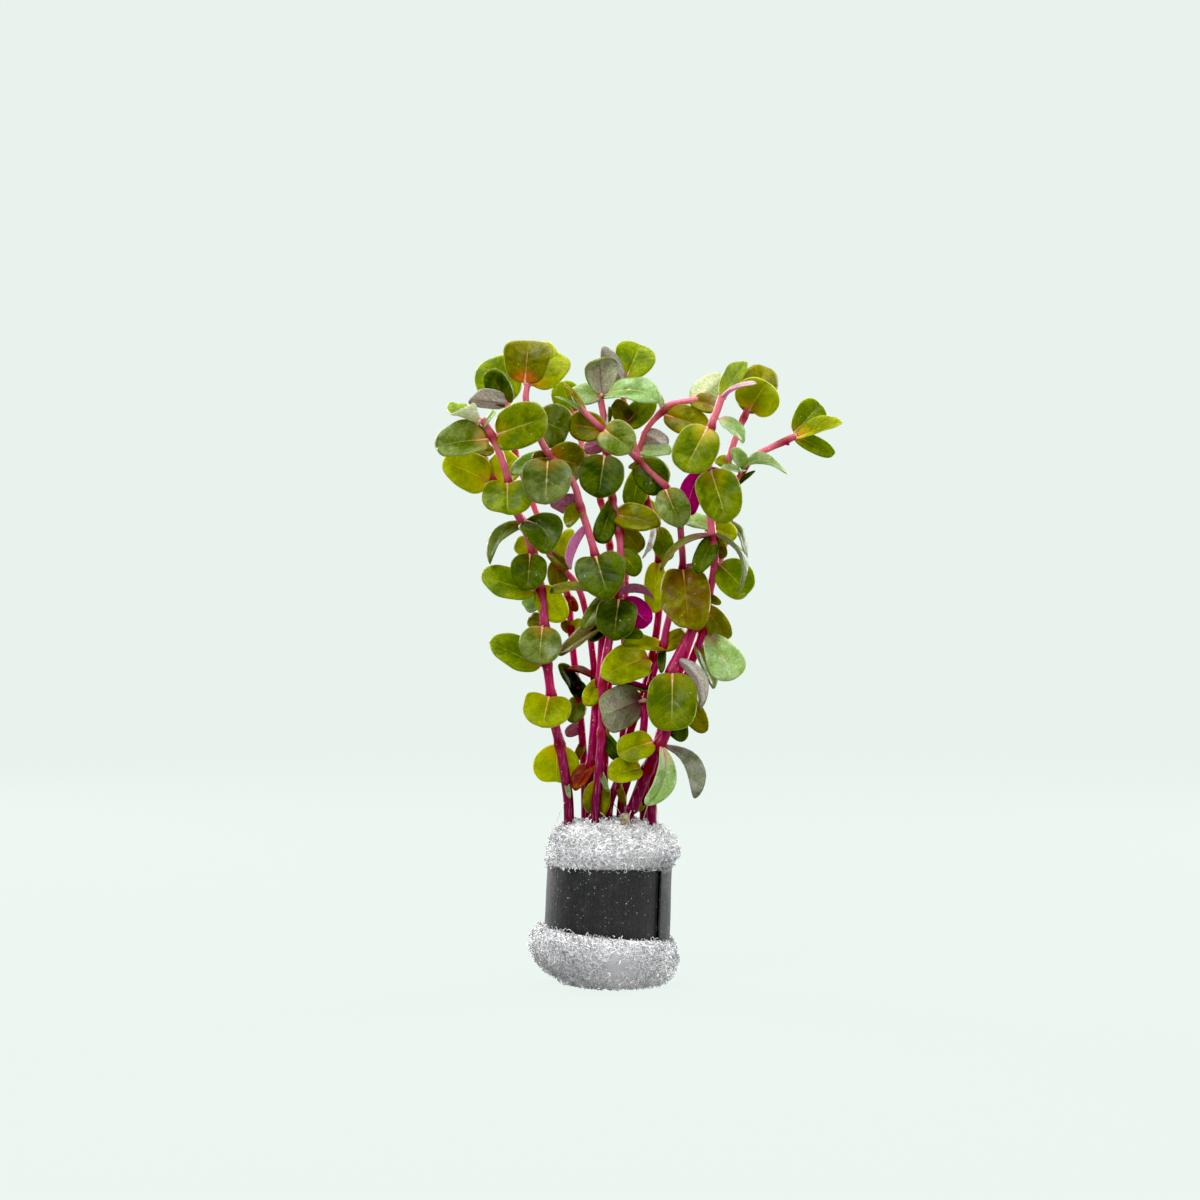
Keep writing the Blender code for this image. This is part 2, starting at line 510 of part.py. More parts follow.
def leaf_frame(row):
    """The base of a leaf's blade, its directions along, across and out of the upper side, and its length."""
    centre, run = place_on(stem_path(row["shoot"]), row["height"])
    reach = row["tip"] - centre
    radius = stem_radius(row["shoot"], row["height"])
    if row["own"]:
        base = centre + (reach - reach.dot(run) * run).normalized() * (radius * JOINT_SWELL + GAP)
    else:
        base = centre - reach.normalized() * radius * 0.9
    along = row["tip"] - base
    length = along.length
    along.normalize()
    out = (row["face"] - row["face"].dot(along) * along).normalized()
    return base, along, out.cross(along), out, length


def leaf_point(row, frame, share, angle, side):
    """A point of the blade: share 0 in its middle and 1 on its rim, angle 0 at the tip, side 1 on top."""
    base, along, across, out, length = frame
    lobe = row["lobe"]
    notch = 1.0
    if share > 0.99 and abs(angle - math.pi) < 0.01:
        notch = (1 - lobe) / (1 + lobe)
    power = 2 + row["full"]
    shoulder = (abs(math.cos(angle)) ** power + abs(math.sin(angle)) ** power) ** (-1 / power)
    share *= 1 + (shoulder - 1) * share ** 2
    x = length * (0.5 * (1 - lobe) + 0.5 * (1 + lobe) * share * math.cos(angle) * notch)
    x += row["point"] * length * max(0.0, math.cos(angle)) ** TIP_SHARPNESS * share ** 2
    half = row["width"] / 2
    y = half * share * math.sin(angle) * (1 + row["taper"] * math.cos(angle))
    s = x / length
    rise = row["cup"] * y * y / half + 4 * row["arch"] * length * s * (1 - s) + row["fold"] * abs(y)
    y += 4 * row["bend"] * length * s * (1 - s)
    return base + along * x + across * y + out * (rise + side * LEAF_THICK / 2)


def make_leaf_mesh(row, name):
    """A ball pressed flat and bent to the blade's shape."""
    frame = leaf_frame(row)
    segments, rings = MATURE_SEGMENTS, 4
    if not row["own"]:
        segments, rings = NARROW_SEGMENTS if row["width"] < NARROW_LEAF else YOUNG_SEGMENTS, 2
    shaped = bmesh.new()
    bmesh.ops.create_uvsphere(shaped, u_segments=segments, v_segments=rings, radius=1.0)
    for vertex in shaped.verts:
        x, y, z = vertex.co
        share = min(1.0, math.hypot(x, y))
        angle = math.atan2(y, x) % math.tau
        vertex.co = leaf_point(row, frame, share, angle, z) * MM
    mesh = bpy.data.meshes.new(name)
    shaped.to_mesh(mesh)
    shaped.free()
    mesh.shade_smooth()
    return mesh


def make_rod(name, foot, radius, tall):
    """An upright six-sided rod on this foot."""
    shaped = bmesh.new()
    bmesh.ops.create_cone(shaped, cap_ends=True, segments=ROD_SIDES, radius1=radius * MM,
                          radius2=radius * MM, depth=tall * MM)
    bmesh.ops.translate(shaped, verts=shaped.verts, vec=(foot + UP * tall / 2) * MM)
    mesh = bpy.data.meshes.new(name)
    shaped.to_mesh(mesh)
    shaped.free()
    return mesh


def make_stub(collection, material):
    """The short end of a cut stem that stands beside the shoots."""
    foot = Vector((*STUB_PLACE, STEM_FOOT))
    mesh = make_rod("stem_stub", foot, STUB_RADIUS, STUB_TOP - STEM_FOOT)
    set_origin(add_object("stem_stub", mesh, collection, material), foot)


def join_young_leaves(stem, shoot, guides):
    """Joins a shoot's young leaves to its stem."""
    held = bpy.data.collections.new("young_leaves_" + shoot)
    guides.children.link(held)
    rows = [row for row in LEAVES if row["shoot"] == shoot and not row["own"]]
    for number, row in enumerate(rows, 1):
        name = f"young_leaf_{shoot}_{number:02d}"
        as_guide(add_object(name, make_leaf_mesh(row, name), held))
    if not rows:
        return
    union = stem.modifiers.new("young_leaves", "BOOLEAN")
    union.operation = "UNION"
    union.operand_type = "COLLECTION"
    union.collection = held
    union.solver = "EXACT"
    mesh = evaluated_mesh(stem)
    stem.modifiers.clear()
    stem.data = mesh


def plug_fall(height):
    """How much lower the plug's right side is drawn in, following the strip's slanting foot."""
    if height < STRIP_FOOT:
        return STRIP_FOOT_FALL * (height / STRIP_FOOT) ** 2
    return STRIP_FOOT_FALL * max(0.0, 1 - (height - STRIP_FOOT) / (STRIP_TOP - STRIP_FOOT))


def make_plug(collection, guides, material):
    """The foam plug: a turned profile, leaned, with a socket for each stem."""
    mesh = bpy.data.meshes.new("plug_profile")
    outline = [(0.0, PLUG_TOP[0])] + [ring[:2] for ring in reversed(PLUG_PROFILE)] + [(0.0, 0.0)]
    shaped = bmesh.new()
    corners = [shaped.verts.new((radius * MM, 0, height * MM)) for radius, height in outline]
    for one, other in zip(corners, corners[1:]):
        shaped.edges.new((one, other))
    shaped.to_mesh(mesh)
    shaped.free()
    guide = add_object("plug_profile", mesh, guides)
    turn = guide.modifiers.new("turn", "SCREW")
    turn.steps = PLUG_STEPS
    turn.render_steps = PLUG_STEPS
    turn.use_merge_vertices = True
    turn.merge_threshold = 1e-5
    mesh = evaluated_mesh(guide)
    bpy.data.objects.remove(guide)
    centres = {round(height, 3): centre for _, height, centre in PLUG_PROFILE}
    centres[round(PLUG_TOP[0], 3)] = PLUG_TOP[1]
    for vertex in mesh.vertices:
        height = vertex.co.z / MM
        fall = plug_fall(height) * vertex.co.x / MM / STRIP_RADIUS
        vertex.co.x += centres[round(height, 3)] * MM
        vertex.co.z -= fall * MM
    plug = add_object("foam_plug", mesh, collection, material)
    sockets = bpy.data.collections.new("sockets")
    guides.children.link(sockets)
    holes = [(shoot, stem_path(shoot)[0].xy, stem_radius(shoot, 0)) for shoot in SHOOTS]
    deep = PLUG_TOP[0] - STEM_FOOT + 2
    for name, place, radius in holes + [("stub", STUB_PLACE, STUB_RADIUS)]:
        foot = Vector((*place, STEM_FOOT - GAP))
        mesh = make_rod("socket_" + name, foot, radius + SOCKET_GAP, deep)
        as_guide(add_object("socket_" + name, mesh, sockets))
    cut = plug.modifiers.new("sockets", "BOOLEAN")
    cut.operation = "DIFFERENCE"
    cut.operand_type = "COLLECTION"
    cut.collection = sockets
    cut.solver = "EXACT"
    return plug


def make_strip(collection, material):
    """The wrapped strip: a sheet that follows a spiral, one turn and an overlap long."""
    turn = math.tau + STRIP_OVERLAP
    shaped = bmesh.new()
    bmesh.ops.create_grid(shaped, x_segments=STRIP_STEPS, y_segments=1, size=0.5)
    for vertex in shaped.verts:
        travelled = (vertex.co.x + 0.5) * turn
        at_top = vertex.co.y > 0
        angle = STRIP_START + travelled
        over = min(1.0, max(0.0, 2 - travelled / STRIP_OVERLAP))
        radius = STRIP_RADIUS + STRIP_THICK / 2 + over * (STRIP_THICK + GAP)
        across = math.cos(angle)
        height = STRIP_TOP - STRIP_TOP_FALL * across if at_top else STRIP_FOOT - STRIP_FOOT_FALL * across
        radius += 0.0 if at_top else STRIP_FLARE
        x = radius * across + (STRIP_CENTRE[1] if at_top else STRIP_CENTRE[0])
        vertex.co = Vector((x, radius * math.sin(angle), height)) * MM
    mesh = bpy.data.meshes.new("strip")
    shaped.to_mesh(mesh)
    shaped.free()
    strip = add_object("metal_strip", mesh, collection, material)
    wall = strip.modifiers.new("wall", "SOLIDIFY")
    wall.thickness = STRIP_THICK * MM
    wall.offset = 0.0
    return strip


def main():
    clear_scene()
    bunch = new_collection("rotala_bunch")
    guides = new_collection("guides")
    guides.hide_render = True
    make_plug(bunch, guides, new_material("foam", "foam", roughness=0.9))
    make_strip(bunch, new_material("soft_metal", "strip", roughness=0.45, metallic=0.8))
    make_stub(bunch, new_material("stub", "stub", roughness=0.7))
    bark = new_material("stem", "stem", roughness=0.4)
    for shoot in SHOOTS:
        stem = make_stem(shoot, bunch, guides, bark)
        join_young_leaves(stem, shoot, guides)
        rows = [row for row in LEAVES if row["shoot"] == shoot and row["own"]]
        for number, row in enumerate(rows, 1):
            name = f"leaf_{shoot}_{number}"
            blade = new_material(name, row["look"], roughness=0.35)
            grown = add_object(name, make_leaf_mesh(row, name), bunch, blade)
            set_origin(grown, leaf_frame(row)[0])
    root = bpy.data.objects.new("rotala", None)
    for obj in list(bunch.objects):
        obj.parent = root
    bunch.objects.link(root)


main()
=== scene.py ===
# %% [markdown]
# A bunch of rotala, an aquarium stem plant grown above water. Twelve shoots are pushed into a plug of white
# open-celled foam, and a strip of soft dark metal is wrapped round the plug's waist.
#
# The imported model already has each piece's place and size: the plug, the strip, the stems and the large
# leaves. It is loaded here as a frame that nothing below moves. Each step then makes the real look of one
# piece and lets it stand for the plain solid.

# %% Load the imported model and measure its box
import math

import bmesh
import bpy
import numpy as np
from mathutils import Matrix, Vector


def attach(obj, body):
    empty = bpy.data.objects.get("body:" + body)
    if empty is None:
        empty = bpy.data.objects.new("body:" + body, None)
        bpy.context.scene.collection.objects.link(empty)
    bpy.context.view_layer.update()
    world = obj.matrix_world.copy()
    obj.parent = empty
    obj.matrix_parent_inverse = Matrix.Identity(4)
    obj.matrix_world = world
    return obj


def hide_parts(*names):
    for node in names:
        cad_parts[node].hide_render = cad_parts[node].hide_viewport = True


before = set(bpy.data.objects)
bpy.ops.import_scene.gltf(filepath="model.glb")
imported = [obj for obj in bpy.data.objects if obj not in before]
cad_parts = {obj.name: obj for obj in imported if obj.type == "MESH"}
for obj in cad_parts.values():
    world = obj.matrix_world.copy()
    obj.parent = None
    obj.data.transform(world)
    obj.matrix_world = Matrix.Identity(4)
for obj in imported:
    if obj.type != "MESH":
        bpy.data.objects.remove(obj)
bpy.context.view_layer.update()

print("nodes in the frame:", len(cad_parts))

# %% [markdown]
# Plant sizes read best in millimetres, so every place and size below is in millimetres and is turned to
# metres only where a mesh is made. X runs to the right, Y away from the viewer and Z up, and the origin is
# the middle of the plug's underside. A few named directions say which way a leaf's upper side faces.

# %% Units, directions and the seed for what grew by chance
MM = 0.001
LEFT = Vector((-1, 0, 0))
RIGHT = Vector((1, 0, 0))
FRONT = Vector((0, -1, 0))
BACK = Vector((0, 1, 0))
UP = Vector((0, 0, 1))
SEED = 12
print("a millimetre is", MM, "m, and the seed is", SEED)

# %% [markdown]
# Each shoot is one given line. Its row gives the stem's diameter at the foot and the tip, the heights of its
# swollen joints, and the points that the stem passes through. These are the model's own rows, because the
# fine stems must run inside the plain ones.

# %% The shoots
SHOOTS = {
    "left_front": (
        (2.1, 1.5),
        (48.2, 58, 64.3, 71.6, 79, 86.5, 91.8, 100.3, 109.3),
        (
            (-8.4, -1.5, 34), (-9, -1.8, 41), (-10.2, -2.2, 48.2), (-11.2, -2.4, 52.4), (-11.9, -2.6, 58),
            (-12.7, -3, 64.3), (-13.2, -3.6, 71.6), (-13.9, -4.4, 79), (-15.5, -5, 86.5),
            (-17.3, -5.5, 91.8), (-19, -5.8, 95), (-20.2, -6.1, 100.3), (-22, -6.5, 106),
            (-23.5, -6.8, 109.3), (-25.5, -7, 112.8),
        ),
    ),
    "left_middle": (
        (1.9, 1.3),
        (44, 60.5, 72, 78.6, 86, 95.2, 105.3, 112.6),
        (
            (-5, -0.5, 34), (-4.6, -0.7, 38), (-4.1, -1, 44), (-3.5, -1.2, 50), (-3, -1.4, 56),
            (-2.3, -1.5, 60.5), (-1.8, -1.9, 68), (-1.6, -2.4, 72), (-1.6, -3.6, 78.6), (-3.2, -6, 86),
            (-4.4, -6.7, 90.3), (-6, -7.3, 95.2), (-7.6, -7.7, 100.3), (-12, -8.5, 105.3),
            (-14, -8.9, 108.8), (-15.6, -9.2, 112.6), (-16.8, -9.4, 116.5), (-16.5, -9.5, 119.6),
        ),
    ),
    "centre_front": (
        (1.9, 1.4),
        (50.5, 60.5, 77.3, 90.3, 97, 106),
        (
            (-3.2, -4.4, 33.5), (-2.6, -4.6, 40), (-2.1, -4.8, 45.7), (-1.8, -4.7, 50.5),
            (-1.7, -4.5, 55.5), (-1.6, -4.2, 60.5), (-1.1, -3.9, 65), (-0.3, -3.7, 69.3),
            (1.4, -3.3, 77.3), (2, -2.9, 83), (1.7, -2.4, 90.3), (0.9, -2.1, 94), (0.3, -1.9, 97),
            (-0.8, -1.3, 106), (-1.2, -0.6, 112), (-2.2, 0, 117.8),
        ),
    ),
    "left_outer": (
        (1.5, 1.2),
        (61.5, 84.6, 101, 107),
        (
            (-2, 1.6, 34), (-2.6, 1.9, 42), (-3, 2, 52), (-3.3, 2, 61.5), (-3.8, 2, 67), (-4.8, 2, 73.5),
            (-6.8, 1.9, 79.9), (-11, 1.5, 84.6), (-16, 1, 91), (-20, 0.5, 96.5), (-23.6, 0, 101),
            (-25, 0, 105), (-26.4, 0, 107), (-27.3, 0, 109.5),
        ),
    ),
    "left_back": (
        (1.6, 1.2),
        (57, 71, 77.5, 92, 107),
        (
            (-5.2, 3.8, 34), (-5.5, 4, 45), (-6.3, 4.5, 55), (-7.2, 4.9, 63), (-8, 5, 71),
            (-8.6, 5.4, 77.5), (-11, 6, 84.4), (-14, 6, 92), (-17, 5.5, 100), (-19.3, 5, 107),
            (-20.5, 4.5, 113), (-20.9, 4.2, 116.6),
        ),
    ),
    "centre_back": (
        (1.6, 1.2),
        (60, 75, 88, 97, 105),
        (
            (-1.4, 6, 34), (-1.2, 6.3, 45), (-0.6, 6.8, 60), (-0.3, 7.2, 75), (-0.2, 7.6, 88),
            (-2, 8.1, 97), (-4.6, 8.6, 105), (-6.8, 9, 111.5), (-7.8, 9, 115.4),
        ),
    ),
    "right_branch": (
        (1.6, 1.2),
        (57, 70, 88, 104, 115),
        (
            (2.4, 4.3, 41), (2.6, 4.6, 57), (2.8, 4.9, 70), (3.1, 5.2, 88), (3.7, 5.6, 97), (5, 6, 104),
            (6.2, 6, 109), (7.5, 6, 112), (10.3, 6, 115), (12, 6, 116.5), (17.6, 6, 117.5),
        ),
    ),
    "centre_right": (
        (1.8, 1.2),
        (65.5, 84.5, 96.7, 112.3),
        (
            (-0.6, -1.9, 34), (1.4, -1, 41), (3.6, 0.8, 50), (6.2, 1.5, 57.5), (8.3, 2, 65.5),
            (9.7, 2, 76), (9.6, 1.5, 84.5), (8.5, 1, 92.8), (7.3, 0.8, 96.7), (6.8, 1, 100),
            (5, 1.5, 107), (3.4, 2, 112.3), (2.6, 2.3, 117), (2.2, 2.5, 121.2),
        ),
    ),
    "diagonal": (
        (1.7, 1.2),
        (57, 67.6, 83.2, 92.8, 99.3, 104.5, 110.6),
        (
            (1.9, 0.9, 34), (3.3, 0.2, 41), (6.2, -0.9, 49.5), (7, -1.6, 57), (9.1, -1.9, 64.7),
            (10.3, -2.3, 67.6), (11.1, -2.5, 71.7), (12.6, -2.7, 77.5), (14.2, -3, 83.2),
            (14, -3.4, 88.5), (13.6, -4, 92.8), (12.6, -4.5, 96.5), (11, -4.9, 99.3), (8, -5.5, 102.2),
            (5.7, -6, 104.5), (3, -7, 106.9), (-1.6, -8, 110.6), (-6.3, -9, 115),
        ),
    ),
    "right_inner": (
        (2.4, 1.3),
        (43.4, 48.4, 62.5, 71.7, 82, 91.5, 113.8),
        (
            (3.7, -3.8, 33.5), (4.3, -4, 35.5), (6.3, -4.5, 41), (7.7, -4.7, 44.5), (9.6, -4.9, 48.4),
            (10.9, -5, 51), (11.5, -4.6, 56.5), (11.9, -4, 62.5), (13.3, -3.6, 65.8), (16.4, -3, 71.7),
            (16.3, -2.2, 74.5), (16.6, -1.3, 77.5), (17.6, 0.3, 82), (19.5, 2, 90), (22, 3.5, 98.5),
            (24, 4, 106.3), (25.6, 4, 111), (26.8, 4, 113.8), (28, 4, 116.2),
        ),
    ),
    "right_front": (
        (1.9, 1.5),
        (47.5, 61.1, 70.8, 77.7, 89, 102.8, 111.3),
        (
            (8.2, -1.3, 36), (8.9, -1.3, 43), (9.9, -1, 47.5), (12, -0.8, 53.5), (14.9, -0.8, 61.1),
            (15.9, -0.8, 64.3), (18.4, -1, 70.8), (19, -1.7, 74.5), (19.3, -3, 77.7), (20.3, -4, 82),
            (20.6, -4.4, 86), (20.3, -4.5, 89), (19.8, -4.5, 93), (19.2, -4.5, 102.8), (19.9, -5, 111.3),
            (21, -5.2, 114.5), (22, -5.2, 117.4),
        ),
    ),
    "right_outer": (
        (1.7, 1.2),
        (76, 93, 103.2, 109),
        (
            (6.6, 1.9, 34), (7.3, 2, 41), (9, 2.2, 48), (12, 3, 57), (15, 4, 66), (18.5, 4.6, 76),
            (22, 5, 85), (23.8, 5, 93), (25.3, 5, 100.5), (26.7, 5, 103.2), (29, 5, 106), (32, 5, 107.6),
            (35, 5, 109), (37.3, 5, 110.1),
        ),
    ),
}
print("shoots:", len(SHOOTS))

# %% [markdown]
# A rotala leaf is nearly round, sits straight on its joint and has one deep midrib. Its row gives the
# height of its joint, its tip, its width and the way its upper side faces. Small shape words then bend the
# blade: `cup` lifts its sides, `arch` lifts its middle, `bend` curves it sideways, `fold` closes it along
# the midrib, `full` squares its shoulders, `point` draws its tip out, `wave` ruffles it, and `lip` rolls a
# part of its rim over: where round the rim in degrees, how wide, how deep and how far. `tone` makes it
# lighter or darker and `flush` warms its base. A mature leaf is a node of the model, and a young one
# belongs to its stem.

# %% How a leaf is noted
LEAVES = []


def leaf(own, shoot, height, tip, width, face, look, **shape):
    """Notes one leaf: the height on its shoot where it grows, its tip, and the way its upper side faces."""
    LEAVES.append(dict(own=own, shoot=shoot, height=height, tip=Vector(tip), width=width, face=face,
                       look=look, lobe=0.0, taper=0.0, cup=0.14, arch=0.05, bend=0.0,
                       fold=0.05, wave=0.28, full=0.25, point=0.0, lip=None) | shape)


def mature(*row, **shape):
    leaf(True, *row, **shape)


def young(*row, **shape):
    leaf(False, *row, **shape)


def count_leaves(shoot):
    print(f"leaves of {shoot}:", sum(row["shoot"] == shoot for row in LEAVES))

# %% The leaves of the shoot at the left front
mature("left_front", 112.8, (-32.8, -8.8, 113.9), 9.6, UP + FRONT / 3, "cream",
       cup=0.22, lobe=0.12, lip=(90, 75, 0.75, 95), tone=0.6)
young("left_front", 111.6, (-22.7, -9.5, 114), 3, UP + FRONT, "pale")
mature("left_front", 109.3, (-34.6, -9, 107.2), 8, FRONT + UP / 2, "grey",
       cup=0.2, lobe=0.03, tone=1, flush=1)
mature("left_front", 109.3, (-12.4, -13, 112.6), 9.3, FRONT + UP / 4, "green", lobe=0.04, full=0.5, tone=0.3)
mature("left_front", 100.3, (-20.4, -10.5, 93.6), 10.2, FRONT + UP / 4, "green",
       lobe=0.12, full=0.5, lip=(225, 38, 0.35, 95), tone=0.5)
young("left_front", 91.8, (-23.9, -7.5, 85.4), 4.4, LEFT + UP + FRONT * 1.5, "grey", bend=-0.2, point=0.1)
mature("left_front", 92.6, (-12, -9, 87), 8.2, FRONT + UP / 4 + RIGHT / 4, "dark", bend=0.2, point=0.08)
mature("left_front", 86.5, (-16.5, -8.5, 78.9), 7.2, FRONT + UP / 3, "dark", tone=0.6)
young("left_front", 86.5, (-19, -2.5, 88.8), 4, FRONT, "yellow")
mature("left_front", 79, (-25.6, -6.5, 82), 6.8, FRONT + UP / 2, "green", bend=0.06, tone=0.7)
young("left_front", 79, (-9.6, -2, 73), 6, FRONT, "yellow")
young("left_front", 78, (-17.4, -2, 75.2), 3.6, FRONT, "pale")
mature("left_front", 72, (-14.3, -7.5, 64.2), 8.4, FRONT + UP / 4, "grey")
young("left_front", 71.6, (-16.4, -1.5, 73.8), 3.6, FRONT, "olive")
mature("left_front", 64.3, (-24.2, -5, 69), 6.8, FRONT + UP / 2, "green", bend=0.05)
mature("left_front", 58, (-13.6, -9, 51.8), 10.2, FRONT + UP / 3, "yellow",
       lobe=0.1, lip=(270, 40, 0.3, 100), tone=0.3)
mature("left_front", 48.2, (-11, 2.4, 40.2), 9.4, FRONT, "yellow")
young("left_front", 41, (-8.2, -4, 37.6), 1.1, FRONT, "pale")
count_leaves("left_front")

# %% The leaves of the shoot at the left of the middle
mature("left_middle", 119.6, (-16.2, -10.5, 128.1), 8.8, FRONT, "olive", taper=0.2, full=1.3, flush=1)
mature("left_middle", 119.6, (-10.2, -5, 126.4), 8.4, FRONT, "yellow", full=1.1, tone=0.5, flush=0.8)
mature("left_middle", 112.6, (-8.4, -3, 110.4), 9, FRONT, "grey")
mature("left_middle", 105.3, (-12.9, -13, 95.7), 9.8, FRONT + UP / 3, "grey", fold=0.12, full=0.5,
       wave=0.45, tone=0.1)
young("left_middle", 105.3, (-5.4, -3, 103.6), 8, FRONT, "olive")
young("left_middle", 105.3, (-15.8, -8.5, 104.9), 2.6, FRONT + UP, "brown")
young("left_middle", 105.3, (-20, -4, 102.4), 4.4, FRONT + UP / 2, "pale")
young("left_middle", 95.2, (-12, -4.5, 96), 4.6, BACK + UP / 2, "mauve")
young("left_middle", 95.2, (-9.2, -5, 91.9), 3.8, FRONT + UP / 2, "yellow")
young("left_middle", 91.5, (-8.3, -4.5, 83.4), 5, LEFT + BACK / 2, "lilac")
mature("left_middle", 86, (-0.8, -11.5, 78), 10.2, FRONT + UP / 3, "dark",
       lobe=0.1, point=0.06, wave=0.35, flush=0.2)
young("left_middle", 78.6, (-12, -6.5, 78.8), 6, UP + FRONT / 3, "olive")
young("left_middle", 77.4, (-5.7, -5, 71.3), 3, FRONT, "grey")
young("left_middle", 72, (-4.1, -3.5, 68.8), 2.8, FRONT, "dark")
young("left_middle", 72, (-10.4, -4.5, 65.8), 5, UP + FRONT / 2, "mauve")
young("left_middle", 60.5, (-5, -3.2, 55.9), 3.8, FRONT + UP / 3, "yellow")
young("left_middle", 44, (-7.2, -4.2, 39.4), 4.2, FRONT + LEFT / 2 + UP / 2, "maroon")
count_leaves("left_middle")

# %% The leaves of the front shoot in the middle
mature("centre_front", 117.8, (-2.4, -1.5, 126.2), 7.2, BACK, "violet", taper=0.4, lip=(330, 70, 0.5, -150))
mature("centre_front", 117.8, (9, -4.5, 117.4), 7.4, UP + FRONT, "mint", arch=0.14, point=0.08,
       tone=0.5, flush=0.2)
young("centre_front", 117.8, (-7.9, 1.5, 118.2), 5.4, FRONT + UP / 2, "pale")
young("centre_front", 108.5, (-5.6, 0.5, 107), 3.2, BACK, "mauve")
young("centre_front", 111, (-0.4, -3, 115.4), 2.5, RIGHT + FRONT / 3, "grey")
mature("centre_front", 106, (-2.5, -6.5, 97.2), 9, FRONT + UP / 3, "dark", tone=0.4)
young("centre_front", 97, (-2.6, -5, 88.3), 4.5, FRONT + RIGHT / 2, "dark", taper=0.4)
young("centre_front", 94, (9.7, -5, 91.7), 6, FRONT + UP / 2, "olive")
young("centre_front", 92, (6.2, 0, 86.8), 4.4, FRONT, "olive")
young("centre_front", 86.5, (5.6, -3.5, 82.1), 4.6, FRONT + UP / 3, "green")
mature("centre_front", 77.3, (0.5, -8.5, 69.5), 8.2, FRONT + UP / 4, "dark", full=0.7, tone=0.3, flush=0.2)
young("centre_front", 78, (8.7, -4.5, 77.3), 6, UP + BACK / 4, "mauve", arch=0.15)
mature("centre_front", 77.3, (7.6, -5.5, 72.2), 5.4, BACK, "magenta")
young("centre_front", 70.6, (6.2, -6.5, 70), 3.4, FRONT + UP / 2, "dark")
young("centre_front", 50.5, (2.5, -3.5, 45), 3.2, FRONT + LEFT / 3, "dark")
young("centre_front", 40.5, (-3.2, -2.4, 34), 5.6, FRONT, "olive")
young("centre_front", 43.5, (-0.6, -5.5, 39), 1.2, FRONT, "pale")
count_leaves("centre_front")

# %% The leaves of the outer shoot at the left
mature("left_outer", 101, (-33.2, -4, 104.6), 8.2, FRONT + UP / 5, "yellow")
young("left_outer", 101, (-18.8, 2, 106), 6.6, FRONT, "yellow")
young("left_outer", 107, (-30.1, 1.5, 106.3), 3, BACK + UP / 2, "mauve")
young("left_outer", 107, (-23.4, -1, 106.4), 3, FRONT + UP / 2, "brown")
young("left_outer", 84.6, (-8, 3.5, 91.2), 3.4, FRONT, "yellow")
young("left_outer", 84.6, (-10.3, 2.4, 78.6), 4.2, FRONT, "olive")
young("left_outer", 86.5, (-8.3, -1, 83), 2.6, FRONT + UP / 2, "brown")
young("left_outer", 61.5, (-9.3, 2, 63.3), 4, UP + FRONT / 4, "maroon")
count_leaves("left_outer")

# %% The leaves of the back shoot at the left
mature("left_back", 116.6, (-24, 6.5, 126), 9.4, FRONT, "green", full=0.4, tone=0.7)
young("left_back", 116.6, (-24.6, 2, 123.2), 5.2, FRONT, "dark")
young("left_back", 116.6, (-27.9, -1, 117), 4.6, BACK + UP / 2, "silver", point=0.1)
young("left_back", 57, (-7.8, 1, 52.3), 4.2, FRONT, "grey")
young("left_back", 58, (-10.3, 2, 64.3), 4, FRONT + RIGHT, "dark")
young("left_back", 60, (-5, 3, 57), 3, FRONT, "dark")
young("left_back", 51.5, (-9.2, 3, 50.1), 2.6, BACK, "mauve")
young("left_back", 48, (-7.2, 1, 44.6), 1.8, FRONT, "brown")
young("left_back", 71, (-10, 4, 72.6), 2.4, FRONT, "brown")
young("left_back", 71, (-5.6, 4, 73), 2.4, FRONT, "yellow")
young("left_back", 77.5, (-6.8, 4.2, 74.8), 2.2, FRONT, "maroon")
count_leaves("left_back")

# %% The leaves of the back shoot in the middle
young("centre_back", 115.4, (-10.3, 8, 121.4), 6, FRONT, "green")
count_leaves("centre_back")

# %% The leaves of the shoot that branches out to the right
mature("right_branch", 115, (20, 4, 111), 6.5, FRONT + UP / 3, "olive")
young("right_branch", 115, (5.3, 5, 119.8), 3.4, UP + RIGHT + BACK / 2, "pale", arch=0.2)
young("right_branch", 117.35, (23.2, 7, 122.2), 5.5, BACK, "pale")
young("right_branch", 117.35, (22, 3, 115.4), 4.5, FRONT + UP / 2, "brown")
young("right_branch", 110.5, (11.2, 4, 107.8), 4.6, BACK, "silver")
young("right_branch", 107, (12.3, 3, 106.6), 4.4, UP + FRONT, "pale")
young("right_branch", 104, (11.9, 6, 101.6), 6, FRONT, "yellow")
count_leaves("right_branch")

# %% The leaves of the shoot at the right of the middle
mature("centre_right", 121.2, (6, 4.5, 128.6), 8, FRONT, "green", taper=0.3)
young("centre_right", 120.7, (-1.4, -0.5, 127.2), 3.6, BACK, "silver", point=0.1)
young("centre_right", 112.3, (0.7, -0.5, 117), 4, FRONT, "olive")
young("centre_right", 112.3, (8.6, -1, 117.4), 5, FRONT, "green")
young("centre_right", 103.6, (4.2, -1, 95.4), 4.8, FRONT, "green", taper=0.35)
young("centre_right", 96.7, (6.6, 3, 92.6), 2.6, FRONT, "yellow")
young("centre_right", 96.7, (9.8, 2.5, 93), 2.6, FRONT, "yellow")
young("centre_right", 92.4, (6.2, -4.4, 85.2), 3.6, RIGHT + BACK / 2.5, "silver")
mature("centre_right", 91.6, (11.3, -0.2, 84.8), 4.4, FRONT + UP / 4, "green")
mature("centre_right", 84.8, (8.6, -1, 74.5), 4.6, FRONT, "yellow")
mature("centre_right", 65.5, (-1.6, -8.4, 62.2), 8, FRONT + UP / 5, "yellow")
young("centre_right", 112.3, (5.4, -1.5, 115.6), 1.6, FRONT + RIGHT, "mauve")
young("centre_right", 40.5, (2.7, -3, 36.2), 1.6, FRONT, "brown")
count_leaves("centre_right")

